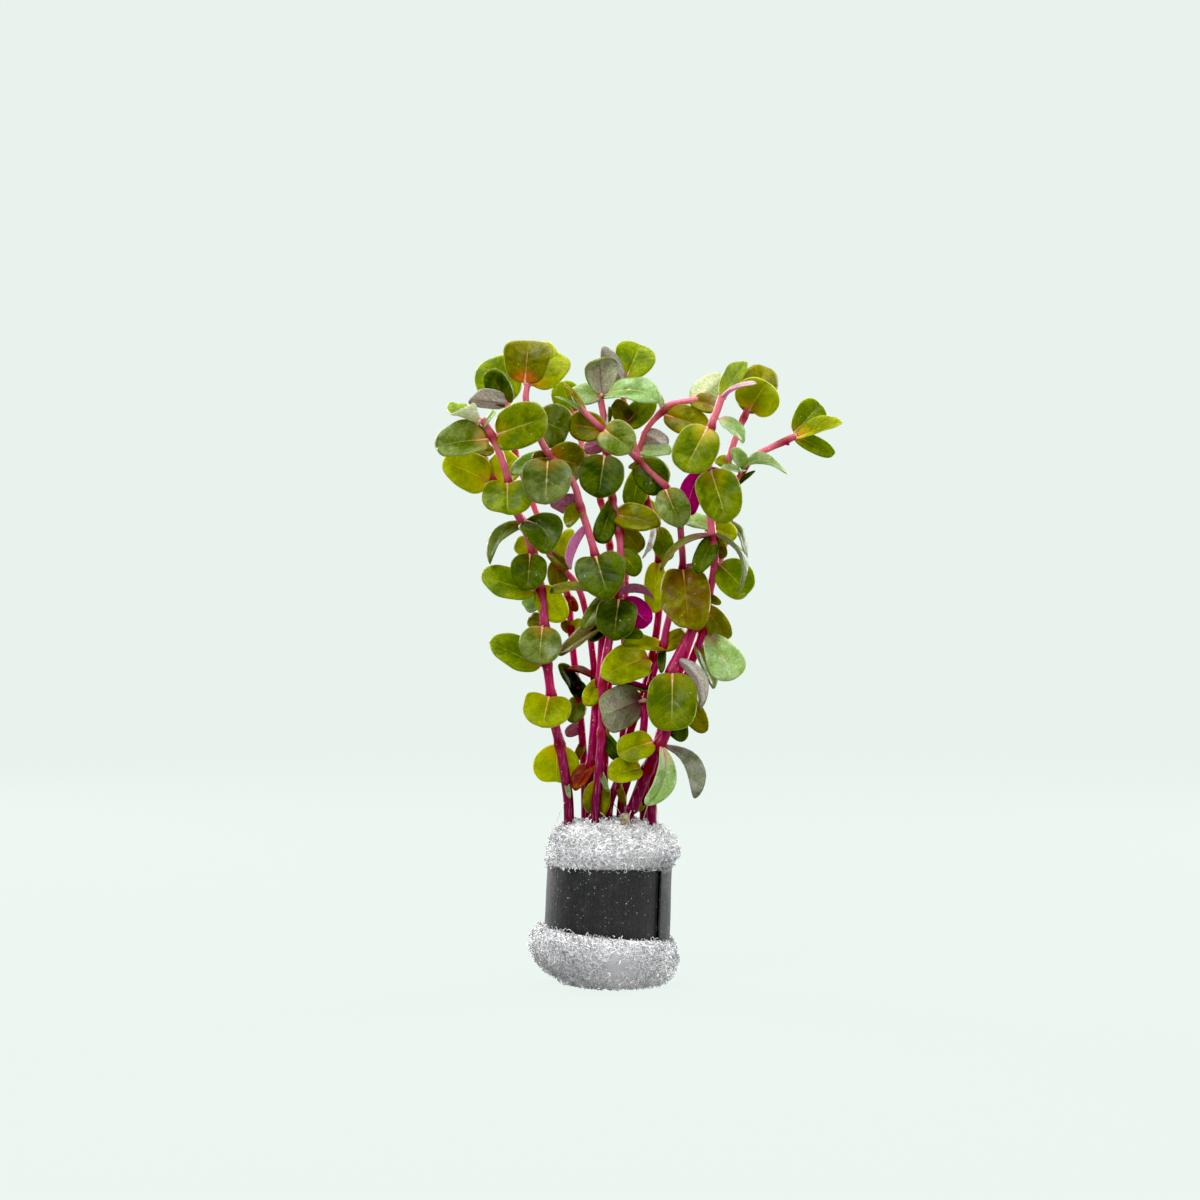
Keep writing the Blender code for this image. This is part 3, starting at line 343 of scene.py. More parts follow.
# %% The leaves of the shoot that crosses to the left
young("diagonal", 114, (-9.4, -9.5, 119.6), 2.2, RIGHT + FRONT / 2, "brown")
mature("diagonal", 110.6, (4, -11, 106.4), 7.2, FRONT + UP / 4, "grey", lobe=0.1)
young("diagonal", 110.6, (-8.3, -5.5, 112), 6.2, FRONT, "olive")
young("diagonal", 104.5, (10.3, -3.5, 98.8), 7.2, FRONT, "dark")
mature("diagonal", 99.3, (13.6, -8, 91.5), 6.6, FRONT + UP / 4, "grey")
mature("diagonal", 83.2, (15.3, -8.5, 71), 9.8, FRONT + UP / 5, "brown", full=0.6,
       lobe=0.06, wave=1.7, tone=0.3)
young("diagonal", 82.6, (16.8, -2.2, 83.8), 2.2, BACK, "mauve")
young("diagonal", 67.6, (2.4, -5.5, 68.2), 4.6, FRONT + UP, "yellow")
young("diagonal", 67.6, (14.9, -1, 70.7), 3.6, FRONT, "olive")
young("diagonal", 67.4, (9.9, -5, 62.6), 1.8, FRONT, "dark")
mature("diagonal", 57, (-1.6, -7, 54), 9, BACK + UP / 5, "violet", full=0.9, flush=1)
young("diagonal", 58.6, (0.2, -5.5, 60.4), 2.8, UP + FRONT / 3, "dark")
young("diagonal", 114, (-11.2, -9, 117.2), 1.4, UP + FRONT / 2, "pale")
young("diagonal", 104.3, (3.4, -6.5, 103.1), 1.2, FRONT, "mauve")
young("diagonal", 59.3, (2.6, -3.8, 61), 1.2, BACK, "magenta")
count_leaves("diagonal")

# %% The leaves of the inner shoot at the right
mature("right_inner", 115.4, (31.3, 1.5, 120.8), 9.2, FRONT, "yellow", lobe=0.1, tone=0.25)
young("right_inner", 115.3, (31.6, 7, 124.2), 8, FRONT, "olive")
young("right_inner", 105, (21, 3, 104.2), 3.4, FRONT + UP, "yellow")
young("right_inner", 92, (14.5, 1, 92.9), 5, UP + FRONT, "pale")
young("right_inner", 91.5, (25, 1, 89.3), 5.4, FRONT + UP / 2, "yellow")
young("right_inner", 64.8, (17.9, -6.5, 55.2), 3.8, BACK + RIGHT, "silver", bend=-0.2, taper=0.25)
mature("right_inner", 62.5, (11.9, -9, 51), 10, FRONT + UP / 6, "green", full=0.5, tone=0.15, flush=0.2)
mature("right_inner", 48.4, (1.2, -8, 46.6), 6.4, FRONT + UP / 2, "yellow", tone=0.25)
mature("right_inner", 43.4, (-0.5, -7.5, 42), 6, FRONT + UP / 1.5, "yellow", tone=0.8)
mature("right_inner", 48.4, (7, -9, 36.4), 4.6, FRONT + RIGHT / 2, "pale", bend=0.16)
count_leaves("right_inner")

# %% The leaves of the front shoot at the right
young("right_front", 117.4, (28.6, -8.5, 119.8), 2.6, UP + FRONT / 2, "lilac", arch=0.08)
mature("right_front", 117.4, (27, -1, 124.6), 5.4, FRONT + LEFT, "green", fold=0.2)
mature("right_front", 111.3, (14.2, -9.5, 102), 8.8, FRONT + UP / 4, "green", tone=0.2)
mature("right_front", 113.4, (26, -6.5, 108.6), 4.4, UP + RIGHT / 2 + FRONT, "pale", arch=0.14, point=0.08)
mature("right_front", 102.8, (22.8, -9.5, 92.3), 8.9, FRONT + UP / 4, "green", tone=0.1)
young("right_front", 102.4, (15.6, -3, 93.8), 4.8, BACK, "magenta", bend=0.15)
young("right_front", 89.6, (9.7, -8.5, 82.8), 4, UP + FRONT / 6, "mauve", arch=0.16)
young("right_front", 89, (16.8, -7.5, 82.3), 4.2, FRONT + UP / 4, "dark")
young("right_front", 89.6, (25, -9, 78.6), 5, RIGHT + UP / 2 + FRONT / 6, "grey", arch=0.26)
young("right_front", 89, (22.4, -3, 85.2), 3.2, FRONT, "brown")
mature("right_front", 84.2, (27.4, -3.5, 78.2), 7.6, FRONT + UP / 5, "green", tone=0.7)
young("right_front", 77.7, (21.8, -4, 76.2), 1.8, FRONT, "olive")
young("right_front", 75.2, (23.4, -0.5, 68.9), 4.6, FRONT, "olive")
young("right_front", 75.8, (17.1, -5, 70.8), 1.8, FRONT, "maroon")
mature("right_front", 70.8, (24.6, -5.5, 61.4), 6.4, FRONT, "pale", taper=0.5, full=0.6)
young("right_front", 67.8, (20.6, -1.5, 59.4), 4.4, FRONT + RIGHT, "grey")
young("right_front", 58, (19, -2.5, 50.8), 4.6, FRONT, "olive")
young("right_front", 53.5, (14.6, -3, 49.2), 4.4, FRONT, "dark")
young("right_front", 47.5, (17.2, -3, 37.8), 3.6, FRONT + RIGHT / 3, "silver", bend=0.24, taper=0.6)
young("right_front", 102.8, (22, -3, 102.4), 1.6, FRONT, "magenta")
count_leaves("right_front")

# %% The leaves of the outer shoot at the right
young("right_outer", 103.2, (34.4, 2, 103.2), 3.6, UP + FRONT, "pale", arch=0.3, point=0.1)
young("right_outer", 103.2, (24.4, 0, 107), 4.2, FRONT + UP / 2, "pale")
young("right_outer", 103.2, (22.2, -0.5, 102.9), 3, UP + FRONT, "pale")
mature("right_outer", 110.1, (42.4, 6, 116.6), 6.2, FRONT, "green", taper=0.25)
mature("right_outer", 110.1, (46.4, 2, 112.6), 4.6, FRONT + UP, "yellow", fold=0.15, flush=1, tone=0.3)
young("right_outer", 110.1, (45.2, 6.5, 106.4), 3.6, FRONT, "green")
young("right_outer", 93, (27, 2, 84.9), 4.4, RIGHT + FRONT / 2, "grey", arch=0.1)
young("right_outer", 100, (29, 4, 103), 1.6, UP + FRONT, "grey")
young("right_outer", 109, (35.9, 4, 108.2), 0.9, FRONT, "magenta")
young("right_outer", 36.8, (5.6, 0.5, 34.6), 1.2, FRONT, "yellow")
count_leaves("right_outer")
print("leaves:", len(LEAVES), "of which large:", sum(row["own"] for row in LEAVES))

# %% [markdown]
# Materials are built from nodes in code. A few short helpers keep each network readable: one adds a node,
# one feeds a socket from a number or from another socket, and three make the nodes that come up again and
# again.

# %% Helpers for shader nodes
def add_node(tree, kind, **settings):
    node = tree.nodes.new(kind)
    for name, value in settings.items():
        setattr(node, name, value)
    return node


def feed(tree, socket, value):
    """Links a socket's value from another socket, or sets it."""
    if isinstance(value, bpy.types.NodeSocket):
        tree.links.new(value, socket)
    else:
        socket.default_value = value


def calculate(tree, operation, *values, clamp=False):
    node = add_node(tree, "ShaderNodeMath", operation=operation, use_clamp=clamp)
    for socket, value in zip(node.inputs, values):
        feed(tree, socket, value)
    return node.outputs[0]


def ramp(tree, value, low, high, at_low=0.0, at_high=1.0):
    """A smooth step from at_low to at_high as the value goes from low to high."""
    node = add_node(tree, "ShaderNodeMapRange", interpolation_type="SMOOTHSTEP")
    for socket, given in zip(node.inputs, (value, low, high, at_low, at_high)):
        feed(tree, socket, given)
    return node.outputs[0]


def blend_colours(tree, share, one, other, way="MIX"):
    node = add_node(tree, "ShaderNodeMix", data_type="RGBA", blend_type=way)
    feed(tree, node.inputs[0], share)
    feed(tree, node.inputs[6], one)
    feed(tree, node.inputs[7], other)
    return node.outputs[2]


def noise(tree, where, scale, detail=3.0, roughness=0.55):
    node = add_node(tree, "ShaderNodeTexNoise")
    feed(tree, node.inputs["Vector"], where)
    feed(tree, node.inputs["Scale"], scale)
    feed(tree, node.inputs["Detail"], detail)
    feed(tree, node.inputs["Roughness"], roughness)
    return node.outputs["Fac"]


def read_attribute(tree, name, output):
    return add_node(tree, "ShaderNodeAttribute", attribute_name=name).outputs[output]


def object_place(tree):
    return add_node(tree, "ShaderNodeTexCoord").outputs["Object"]


def new_group(name, inputs, outputs):
    """A shader node group with its named sockets, and the nodes that read and write them."""
    tree = bpy.data.node_groups.new(name, "ShaderNodeTree")
    for label, kind, value in inputs:
        socket = tree.interface.new_socket(label, in_out="INPUT", socket_type=kind)
        socket.default_value = value
    for label, kind in outputs:
        tree.interface.new_socket(label, in_out="OUTPUT", socket_type=kind)
    return tree, tree.nodes.new("NodeGroupInput").outputs, tree.nodes.new("NodeGroupOutput").inputs


COLOUR, NUMBER = "NodeSocketColor", "NodeSocketFloat"
print("kinds of socket:", COLOUR, NUMBER)

# %% [markdown]
# Tiny pale grains of dust and lime lie on the leaves, the stems and the strip alike. One group makes them
# for all three: a Voronoi cell holds a round grain at its middle, and only a few cells keep theirs.

# %% Shader group: pale grains
def make_grain_group():
    tree, given, made = new_group(
        "Pale grains",
        [("Cells per metre", NUMBER, 900.0), ("Size", NUMBER, 0.16), ("Share", NUMBER, 0.1)],
        [("Mask", NUMBER)])
    cells = add_node(tree, "ShaderNodeTexVoronoi")
    feed(tree, cells.inputs["Vector"], object_place(tree))
    feed(tree, cells.inputs["Scale"], given["Cells per metre"])
    chance = add_node(tree, "ShaderNodeSeparateColor")
    feed(tree, chance.inputs[0], cells.outputs["Color"])
    kept = calculate(tree, "LESS_THAN", chance.outputs[0], given["Share"])
    soft = calculate(tree, "MULTIPLY", given["Size"], 0.5)
    round_grain = ramp(tree, cells.outputs["Distance"], soft, given["Size"], 1.0, 0.0)
    feed(tree, made["Mask"], calculate(tree, "MULTIPLY", round_grain, kept))
    return tree


GRAINS = make_grain_group()


def lay_grains(tree, cells, size, share):
    """The grains' mask, for this many cells to a metre, this size of grain and this share of the cells."""
    grains = add_node(tree, "ShaderNodeGroup", node_tree=GRAINS)
    for socket, value in (("Cells per metre", cells), ("Size", size), ("Share", share)):
        grains.inputs[socket].default_value = value
    return grains.outputs["Mask"]


print("group:", GRAINS.name)

# %% [markdown]
# A leaf's pattern follows its blade, so each blade carries an attribute, `blade`: how far along from base
# to tip, how far across from the midrib, and how far out from the middle to the rim. A second one, `side`,
# tells the upper sheet from the lower. One group draws the veins: a pale midrib that thins out before the
# tip, and side veins that leave it and arch towards the tip, with a soft bulge between each two. Its
# numbers are shares of the blade's length or half width.

# %% Shader group: leaf veins
MIDRIB_WIDE, MIDRIB_THINS, MIDRIB_FADES = 0.075, 0.055, (0.6, 0.92)
VEIN_BEND, VEIN_DRIFT, VEIN_WIDE = 1.4, 0.12, 0.11


def make_vein_group():
    tree, given, made = new_group(
        "Leaf veins", [("Side veins", NUMBER, 6.0), ("Arch", NUMBER, 0.42)],
        [("Midrib", NUMBER), ("Side lines", NUMBER), ("Bulge", NUMBER)])
    blade = add_node(tree, "ShaderNodeSeparateXYZ")
    feed(tree, blade.inputs[0], read_attribute(tree, "blade", "Vector"))
    along, across, _ = blade.outputs
    off = calculate(tree, "ABSOLUTE", across)
    wide = calculate(tree, "MULTIPLY_ADD", along, -MIDRIB_THINS, MIDRIB_WIDE)
    rib = calculate(tree, "SUBTRACT", 1.0, calculate(tree, "DIVIDE", off, wide), clamp=True)
    feed(tree, made["Midrib"], calculate(tree, "MULTIPLY", rib, ramp(tree, along, *MIDRIB_FADES, 1.0, 0.0)))
    bent = calculate(tree, "MULTIPLY", calculate(tree, "POWER", off, VEIN_BEND), given["Arch"])
    drift = calculate(tree, "MULTIPLY", noise(tree, object_place(tree), 420.0, 1.0), VEIN_DRIFT)
    order = calculate(tree, "ADD", calculate(tree, "SUBTRACT", along, bent), drift)
    turns = calculate(tree, "MULTIPLY", order, given["Side veins"])
    line = calculate(tree, "ABSOLUTE", calculate(tree, "SUBTRACT", calculate(tree, "FRACT", turns), 0.5))
    faded = ramp(tree, off, 0.2, 0.9, 1.0, 0.15)
    drawn = ramp(tree, line, 0.0, VEIN_WIDE, 1.0, 0.0)
    feed(tree, made["Side lines"], calculate(tree, "MULTIPLY", drawn, faded))
    beside = ramp(tree, off, 0.02, 0.2)
    feed(tree, made["Bulge"], calculate(tree, "MULTIPLY", ramp(tree, line, 0.0, 0.5), beside))
    return tree


LEAF_VEINS = make_vein_group()
print("group:", LEAF_VEINS.name)

# %% [markdown]
# The skin group lays the colours of one leaf over each other: patches of a second green that gather towards
# the rim, a fine meal, the other colour of the underside, a warm glow at the base, the veins, and the thin
# bright rim. The patches' pull towards the rim and the bright rim are painted light: a glow of light through
# the thin edge. It puts out the surface's colour, the colour that light takes on its way through the blade, a
# roughness, a height, and how much of the waxy sheen lies where, which comes and goes in soft clouds.

# %% Shader group: leaf skin
PATCHES_PER_METRE, MEAL_PER_METRE, CLOUDS_PER_METRE = 300.0, 2400.0, 210.0
# The last of these is where the rim's painted glow of light through the thin edge begins.
FLUSH_REACH, FLUSH_ASIDE, RIM_GLOW_FROM = 0.44, 0.45, 0.94
GRAIN_COLOUR = (0.85, 0.88, 0.8, 1)


def glow_at_base(tree, along, across):
    """Strong where the blade leaves its stem, and gone at FLUSH_REACH of its length."""
    aside = calculate(tree, "MULTIPLY", calculate(tree, "ABSOLUTE", across), FLUSH_ASIDE)
    away = calculate(tree, "SQRT", calculate(tree, "ADD", calculate(tree, "POWER", aside, 2.0),
                                             calculate(tree, "POWER", along, 2.0)))
    return calculate(tree, "MULTIPLY", ramp(tree, away, 0.0, FLUSH_REACH, 1.0, 0.0),
                     read_attribute(tree, "flush", "Fac"))


def make_leaf_group():
    tree, given, made = new_group(
        "Leaf skin",
        [("Upper", COLOUR, (0.1, 0.2, 0.02, 1)), ("Patches", COLOUR, (0.2, 0.25, 0.05, 1)),
         ("Underside", COLOUR, (0.3, 0.3, 0.2, 1)), ("Veins", COLOUR, (0.6, 0.5, 0.2, 1)),
         ("Flush", COLOUR, (0.4, 0.1, 0.02, 1)), ("Rim", COLOUR, (0.5, 0.6, 0.1, 1)),
         ("Lit through", COLOUR, (0.5, 0.6, 0.05, 1)), ("Sheen", NUMBER, 0.4)],
        [("Color", COLOUR), ("Through", COLOUR), ("Roughness", NUMBER), ("Sheen", NUMBER),
         ("Height", NUMBER)])
    blade = add_node(tree, "ShaderNodeSeparateXYZ")
    feed(tree, blade.inputs[0], read_attribute(tree, "blade", "Vector"))
    along, across, out = blade.outputs
    side = read_attribute(tree, "side", "Fac")
    place = object_place(tree)
    veins = add_node(tree, "ShaderNodeGroup", node_tree=LEAF_VEINS)
    rib, lines, bulge = veins.outputs

    # The pull of the patches towards the rim is painted light shining through the thin edge; the noise is the
    # leaf's own patchy colour.
    spread = calculate(tree, "MULTIPLY_ADD", calculate(tree, "POWER", out, 2.0), 0.16,
                       noise(tree, place, PATCHES_PER_METRE, 2.0))
    body = blend_colours(tree, ramp(tree, spread, 0.44, 0.68), given["Upper"], given["Patches"])
    tone = calculate(tree, "MULTIPLY_ADD", read_attribute(tree, "tone", "Fac"), 0.5, 0.75)
    body = blend_colours(tree, 1.0, body, tone, "MULTIPLY")
    below = blend_colours(tree, ramp(tree, noise(tree, place, 340.0, 2.0), 0.4, 0.7, 0.0, 0.35),
                          given["Underside"], given["Flush"])
    body = blend_colours(tree, side, below, body)
    meal = noise(tree, place, MEAL_PER_METRE, 3.0, 0.75)
    body = blend_colours(tree, 1.0, body, ramp(tree, meal, 0.3, 0.7, 0.6, 1.3), "MULTIPLY")
    body = blend_colours(tree, glow_at_base(tree, along, across), body, given["Flush"])
    body = blend_colours(tree, calculate(tree, "MULTIPLY", lines, 0.16), body, given["Veins"])
    body = blend_colours(tree, calculate(tree, "MULTIPLY", rib, 0.85), body, given["Veins"])
    # The rim colour is painted light: a glow of light through the thin edge.
    body = blend_colours(tree, ramp(tree, out, RIM_GLOW_FROM, 1.0, 0.0, 0.8), body, given["Rim"])
    dots = calculate(tree, "MULTIPLY", lay_grains(tree, 1150.0, 0.17, 0.06), side)
    dusted = blend_colours(tree, calculate(tree, "MULTIPLY", dots, 0.75), body, GRAIN_COLOUR)
    feed(tree, made["Color"], dusted)
    feed(tree, made["Through"], blend_colours(tree, 0.55, body, given["Lit through"]))
    rough = ramp(tree, noise(tree, place, 900.0, 2.0), 0.3, 0.7, 0.54, 0.72)
    feed(tree, made["Roughness"], calculate(tree, "MULTIPLY_ADD", side, -0.18, rough))
    cloud = ramp(tree, noise(tree, place, CLOUDS_PER_METRE, 2.0), 0.42, 0.66)
    feed(tree, made["Sheen"], calculate(tree, "MULTIPLY", cloud, given["Sheen"]))
    high = calculate(tree, "MULTIPLY_ADD", meal, 0.5, calculate(tree, "MULTIPLY", bulge, 0.22))
    feed(tree, made["Height"], calculate(tree, "ADD", high, dots))
    return tree


LEAF_SKIN = make_leaf_group()
print("group:", LEAF_SKIN.name)

# %% [markdown]
# Light both bounces off a leaf and shines through it, so each leaf material mixes a Principled surface with a
# Translucent one. How much shines through is set for each look: a young yellow-green blade glows, and an old
# dark one hardly does. The looks are the leaf colours that the bunch shows. The grey, mint, cream and pale
# looks are in part painted reflection: their greyish and whitish colours stand for the sheen and glare of the
# lamps on the waxy leaves.

# %% The looks of the leaves
# Each look's rim colour is the painted glow of light through the leaf's thin edge.
LOOKS = {
    "green": dict(upper=(0.080, 0.130, 0.0004), patches=(0.185, 0.240, 0.001), under=(0.30, 0.37, 0.15),
                  veins=(0.58, 0.46, 0.12), flush=(0.60, 0.42, 0.02), rim=(0.52, 0.58, 0.12),
                  through=(0.40, 0.54, 0.001), glow=0.36, sheen=0.16),
    "dark": dict(upper=(0.020, 0.044, 0.0004), patches=(0.062, 0.100, 0.001), under=(0.20, 0.22, 0.10),
                 veins=(0.30, 0.25, 0.06), flush=(0.16, 0.10, 0.004), rim=(0.24, 0.30, 0.05),
                 through=(0.18, 0.30, 0.001), glow=0.22, sheen=0.22),
    "olive": dict(upper=(0.095, 0.110, 0.0006), patches=(0.20, 0.21, 0.002), under=(0.30, 0.27, 0.14),
                  veins=(0.58, 0.30, 0.10), flush=(0.66, 0.10, 0.02), rim=(0.44, 0.42, 0.10),
                  through=(0.48, 0.46, 0.001), glow=0.34, sheen=0.2),
    "yellow": dict(upper=(0.15, 0.20, 0.0005), patches=(0.31, 0.37, 0.001), under=(0.42, 0.42, 0.12),
                   veins=(0.76, 0.54, 0.12), flush=(0.85, 0.44, 0.03), rim=(0.72, 0.72, 0.20),
                   through=(0.70, 0.76, 0.001), glow=0.48, sheen=0.12),
    # The grey look's grey patches are in part painted sheen of the lamps.
    "grey": dict(upper=(0.062, 0.100, 0.002), patches=(0.145, 0.19, 0.035), under=(0.30, 0.34, 0.22),
                 veins=(0.46, 0.38, 0.12), flush=(0.42, 0.22, 0.03), rim=(0.42, 0.46, 0.18),
                 through=(0.34, 0.44, 0.003), glow=0.28, sheen=0.5),
    # The mint look's pale bluish patches are painted glare of the lamps.
    "mint": dict(upper=(0.10, 0.19, 0.012), patches=(0.28, 0.44, 0.16), under=(0.40, 0.50, 0.25),
                 veins=(0.66, 0.66, 0.26), flush=(0.60, 0.56, 0.10), rim=(0.60, 0.72, 0.30),
                 through=(0.44, 0.66, 0.02), glow=0.36, sheen=0.9),
    # The cream look's cream underside is painted glare of the lamps.
    "cream": dict(upper=(0.10, 0.17, 0.001), patches=(0.20, 0.30, 0.01), under=(0.84, 0.86, 0.66),
                  veins=(0.80, 0.36, 0.36), flush=(0.80, 0.62, 0.50), rim=(0.84, 0.86, 0.60),
                  through=(0.60, 0.72, 0.10), glow=0.3, sheen=0.4),
    # The pale look's pale mint colours are in part painted glare of the lamps.
    "pale": dict(upper=(0.20, 0.33, 0.10), patches=(0.36, 0.48, 0.25), under=(0.56, 0.60, 0.40),
                 veins=(0.84, 0.56, 0.44), flush=(0.80, 0.40, 0.32), rim=(0.74, 0.82, 0.46),
                 through=(0.56, 0.78, 0.10), glow=0.42, sheen=0.9),
    "violet": dict(upper=(0.12, 0.20, 0.003), patches=(0.18, 0.26, 0.006), under=(0.36, 0.38, 0.235),
                   veins=(0.16, 0.035, 0.06), flush=(0.15, 0.025, 0.07), rim=(0.38, 0.50, 0.05),
                   through=(0.34, 0.36, 0.14), glow=0.28, sheen=0.4),
    "mauve": dict(upper=(0.13, 0.16, 0.004), patches=(0.18, 0.20, 0.01), under=(0.42, 0.19, 0.28),
                  veins=(0.26, 0.03, 0.12), flush=(0.42, 0.05, 0.24), rim=(0.60, 0.34, 0.36),
                  through=(0.56, 0.22, 0.32), glow=0.36, sheen=0.4),
    "lilac": dict(upper=(0.62, 0.42, 0.44), patches=(0.66, 0.56, 0.50), under=(0.58, 0.25, 0.46),
                  veins=(0.38, 0.04, 0.20), flush=(0.58, 0.14, 0.34), rim=(0.72, 0.50, 0.56),
                  through=(0.74, 0.30, 0.54), glow=0.42, sheen=0.6),
    "silver": dict(upper=(0.16, 0.20, 0.10), patches=(0.30, 0.33, 0.24), under=(0.46, 0.45, 0.37),
                   veins=(0.28, 0.12, 0.15), flush=(0.46, 0.30, 0.34), rim=(0.54, 0.52, 0.40),
                   through=(0.46, 0.42, 0.34), glow=0.32, sheen=0.9),
    "magenta": dict(upper=(0.36, 0.004, 0.16), patches=(0.22, 0.003, 0.10), under=(0.40, 0.006, 0.19),
                    veins=(0.62, 0.20, 0.44), flush=(0.22, 0.003, 0.07), rim=(0.56, 0.10, 0.34),
                    through=(0.72, 0.004, 0.36), glow=0.46, sheen=0.3),
    "brown": dict(upper=(0.135, 0.085, 0.002), patches=(0.20, 0.20, 0.004), under=(0.28, 0.17, 0.07),
                  veins=(0.30, 0.16, 0.04), flush=(0.22, 0.05, 0.004), rim=(0.42, 0.38, 0.06),
                  through=(0.44, 0.32, 0.002), glow=0.30, sheen=0.5),
    "maroon": dict(upper=(0.14, 0.010, 0.004), patches=(0.22, 0.06, 0.004), under=(0.24, 0.02, 0.05),
                   veins=(0.42, 0.12, 0.06), flush=(0.18, 0.004, 0.01), rim=(0.40, 0.14, 0.04),
                   through=(0.52, 0.05, 0.02), glow=0.34, sheen=0.4),
}
print("leaf looks:", len(LOOKS))

# %% Helpers for materials
RELIEF_STRENGTH = 0.7


def principled(material):
    return material.node_tree.nodes["Principled BSDF"]


def shine_through(material, colour, share):
    """Mixes a Translucent shader into a material, so that light passes through it."""
    tree = material.node_tree
    through = add_node(tree, "ShaderNodeBsdfTranslucent")
    feed(tree, through.inputs["Color"], colour)
    mixed = add_node(tree, "ShaderNodeMixShader")
    feed(tree, mixed.inputs[0], share)
    tree.links.new(principled(material).outputs[0], mixed.inputs[1])
    tree.links.new(through.outputs[0], mixed.inputs[2])
    tree.links.new(mixed.outputs[0], tree.nodes["Material Output"].inputs["Surface"])


def add_relief(material, height, depth):
    """Feeds a height through a Bump node, which is this deep in metres, to the surface's normal."""
    tree = material.node_tree
    bump = add_node(tree, "ShaderNodeBump")
    bump.inputs["Strength"].default_value = RELIEF_STRENGTH
    bump.inputs["Distance"].default_value = depth
    feed(tree, bump.inputs["Height"], height)
    feed(tree, principled(material).inputs["Normal"], bump.outputs[0])


def new_material(name):
    material = bpy.data.materials.new(name)
    material.use_nodes = True
    return material


print("relief strength:", RELIEF_STRENGTH)

# %% The leaves' materials
LEAF_SHINE, WAX_ROUGHNESS, LEAF_RELIEF = 0.12, 0.3, 0.24


def make_leaf_material(look):
    values = LOOKS[look]
    material = new_material("leaf " + look)
    tree = material.node_tree
    skin = add_node(tree, "ShaderNodeGroup", node_tree=LEAF_SKIN)
    for socket, key in (("Upper", "upper"), ("Patches", "patches"), ("Underside", "under"),
                        ("Veins", "veins"), ("Flush", "flush"), ("Rim", "rim"), ("Lit through", "through")):
        skin.inputs[socket].default_value = (*values[key], 1.0)
    skin.inputs["Sheen"].default_value = values["sheen"]
    shader = principled(material)
    feed(tree, shader.inputs["Base Color"], skin.outputs["Color"])
    feed(tree, shader.inputs["Roughness"], skin.outputs["Roughness"])
    shader.inputs["Specular IOR Level"].default_value = LEAF_SHINE
    feed(tree, shader.inputs["Coat Weight"], skin.outputs["Sheen"])
    shader.inputs["Coat Roughness"].default_value = WAX_ROUGHNESS
    add_relief(material, skin.outputs["Height"], LEAF_RELIEF * MM)
    shine_through(material, skin.outputs["Through"], values["glow"])
    return material


LEAF_MATERIALS = {look: make_leaf_material(look) for look in LOOKS}
print("leaf materials:", len(LEAF_MATERIALS))

# %% [markdown]
# A stem is salmon pink at its young tip and turns magenta and then dark wine red towards the foot. Its
# joints are darker rings, fine streaks run up it, and the bright backdrop glows a little through its edges.
# The height comes from Object coordinates and the rings from an attribute, `joint`, which the stem's line
# carries.

# %% The stems' material
FOOT_COLOUR = (0.120, 0.002, 0.030, 1)
MIDDLE_COLOUR = (0.42, 0.012, 0.105, 1)
TIP_COLOUR = (0.58, 0.145, 0.185, 1)
DARK_TO, MIDDLE_TO, TIP_FROM = 30, 62, 108
PALE_STREAK, DARK_STREAK = (0.74, 0.26, 0.36, 1), (0.12, 0.003, 0.02, 1)
RING_COLOUR, STEM_LIT_THROUGH = (0.24, 0.004, 0.008, 1), (0.9, 0.06, 0.2, 1)
STREAKS_PER_METRE, STREAK_SCALE = 3200.0, (1.0, 1.0, 0.12)


def make_stem_material():
    material = new_material("stem bark")
    tree = material.node_tree
    place = object_place(tree)
    split = add_node(tree, "ShaderNodeSeparateXYZ")
    feed(tree, split.inputs[0], place)
    height = split.outputs[2]
    skin = blend_colours(tree, ramp(tree, height, DARK_TO * MM, MIDDLE_TO * MM), FOOT_COLOUR, MIDDLE_COLOUR)
    skin = blend_colours(tree, ramp(tree, height, MIDDLE_TO * MM, TIP_FROM * MM), skin, TIP_COLOUR)
    tone = calculate(tree, "MULTIPLY_ADD", read_attribute(tree, "tone", "Fac"), 0.7, 0.65)
    skin = blend_colours(tree, 1.0, skin, tone, "MULTIPLY")
    stretched = add_node(tree, "ShaderNodeMapping")
    stretched.inputs["Scale"].default_value = STREAK_SCALE
    feed(tree, stretched.inputs["Vector"], place)
    streaks = noise(tree, stretched.outputs[0], STREAKS_PER_METRE, 3.0, 0.6)
    skin = blend_colours(tree, ramp(tree, streaks, 0.54, 0.74, 0.0, 0.45), skin, PALE_STREAK)
    skin = blend_colours(tree, ramp(tree, streaks, 0.28, 0.46, 0.5, 0.0), skin, DARK_STREAK)
    ring = read_attribute(tree, "joint", "Fac")
    skin = blend_colours(tree, calculate(tree, "MULTIPLY", ring, 0.85), skin, RING_COLOUR)
    dusted = calculate(tree, "MULTIPLY", lay_grains(tree, 1100.0, 0.2, 0.12), 0.6)
    skin = blend_colours(tree, dusted, skin, (0.8, 0.7, 0.7, 1))
    shader = principled(material)
    feed(tree, shader.inputs["Base Color"], skin)
    feed(tree, shader.inputs["Roughness"], ramp(tree, streaks, 0.3, 0.7, 0.28, 0.45))
    add_relief(material, streaks, 0.1 * MM)
    shader.inputs["Specular IOR Level"].default_value = 0.3
    shine_through(material, blend_colours(tree, 0.3, skin, STEM_LIT_THROUGH), 0.24)
    return material


STEM_BARK = make_stem_material()
print("material:", STEM_BARK.name)

# %% [markdown]
# Where a midrib leaves the stem it is a short pale stalk, cream with a breath of pink, and it lets a little
# light through.

# %% The material of the midribs' thick starts
STALK_PINK, STALK_CREAM = (0.72, 0.30, 0.24, 1), (0.80, 0.55, 0.32, 1)


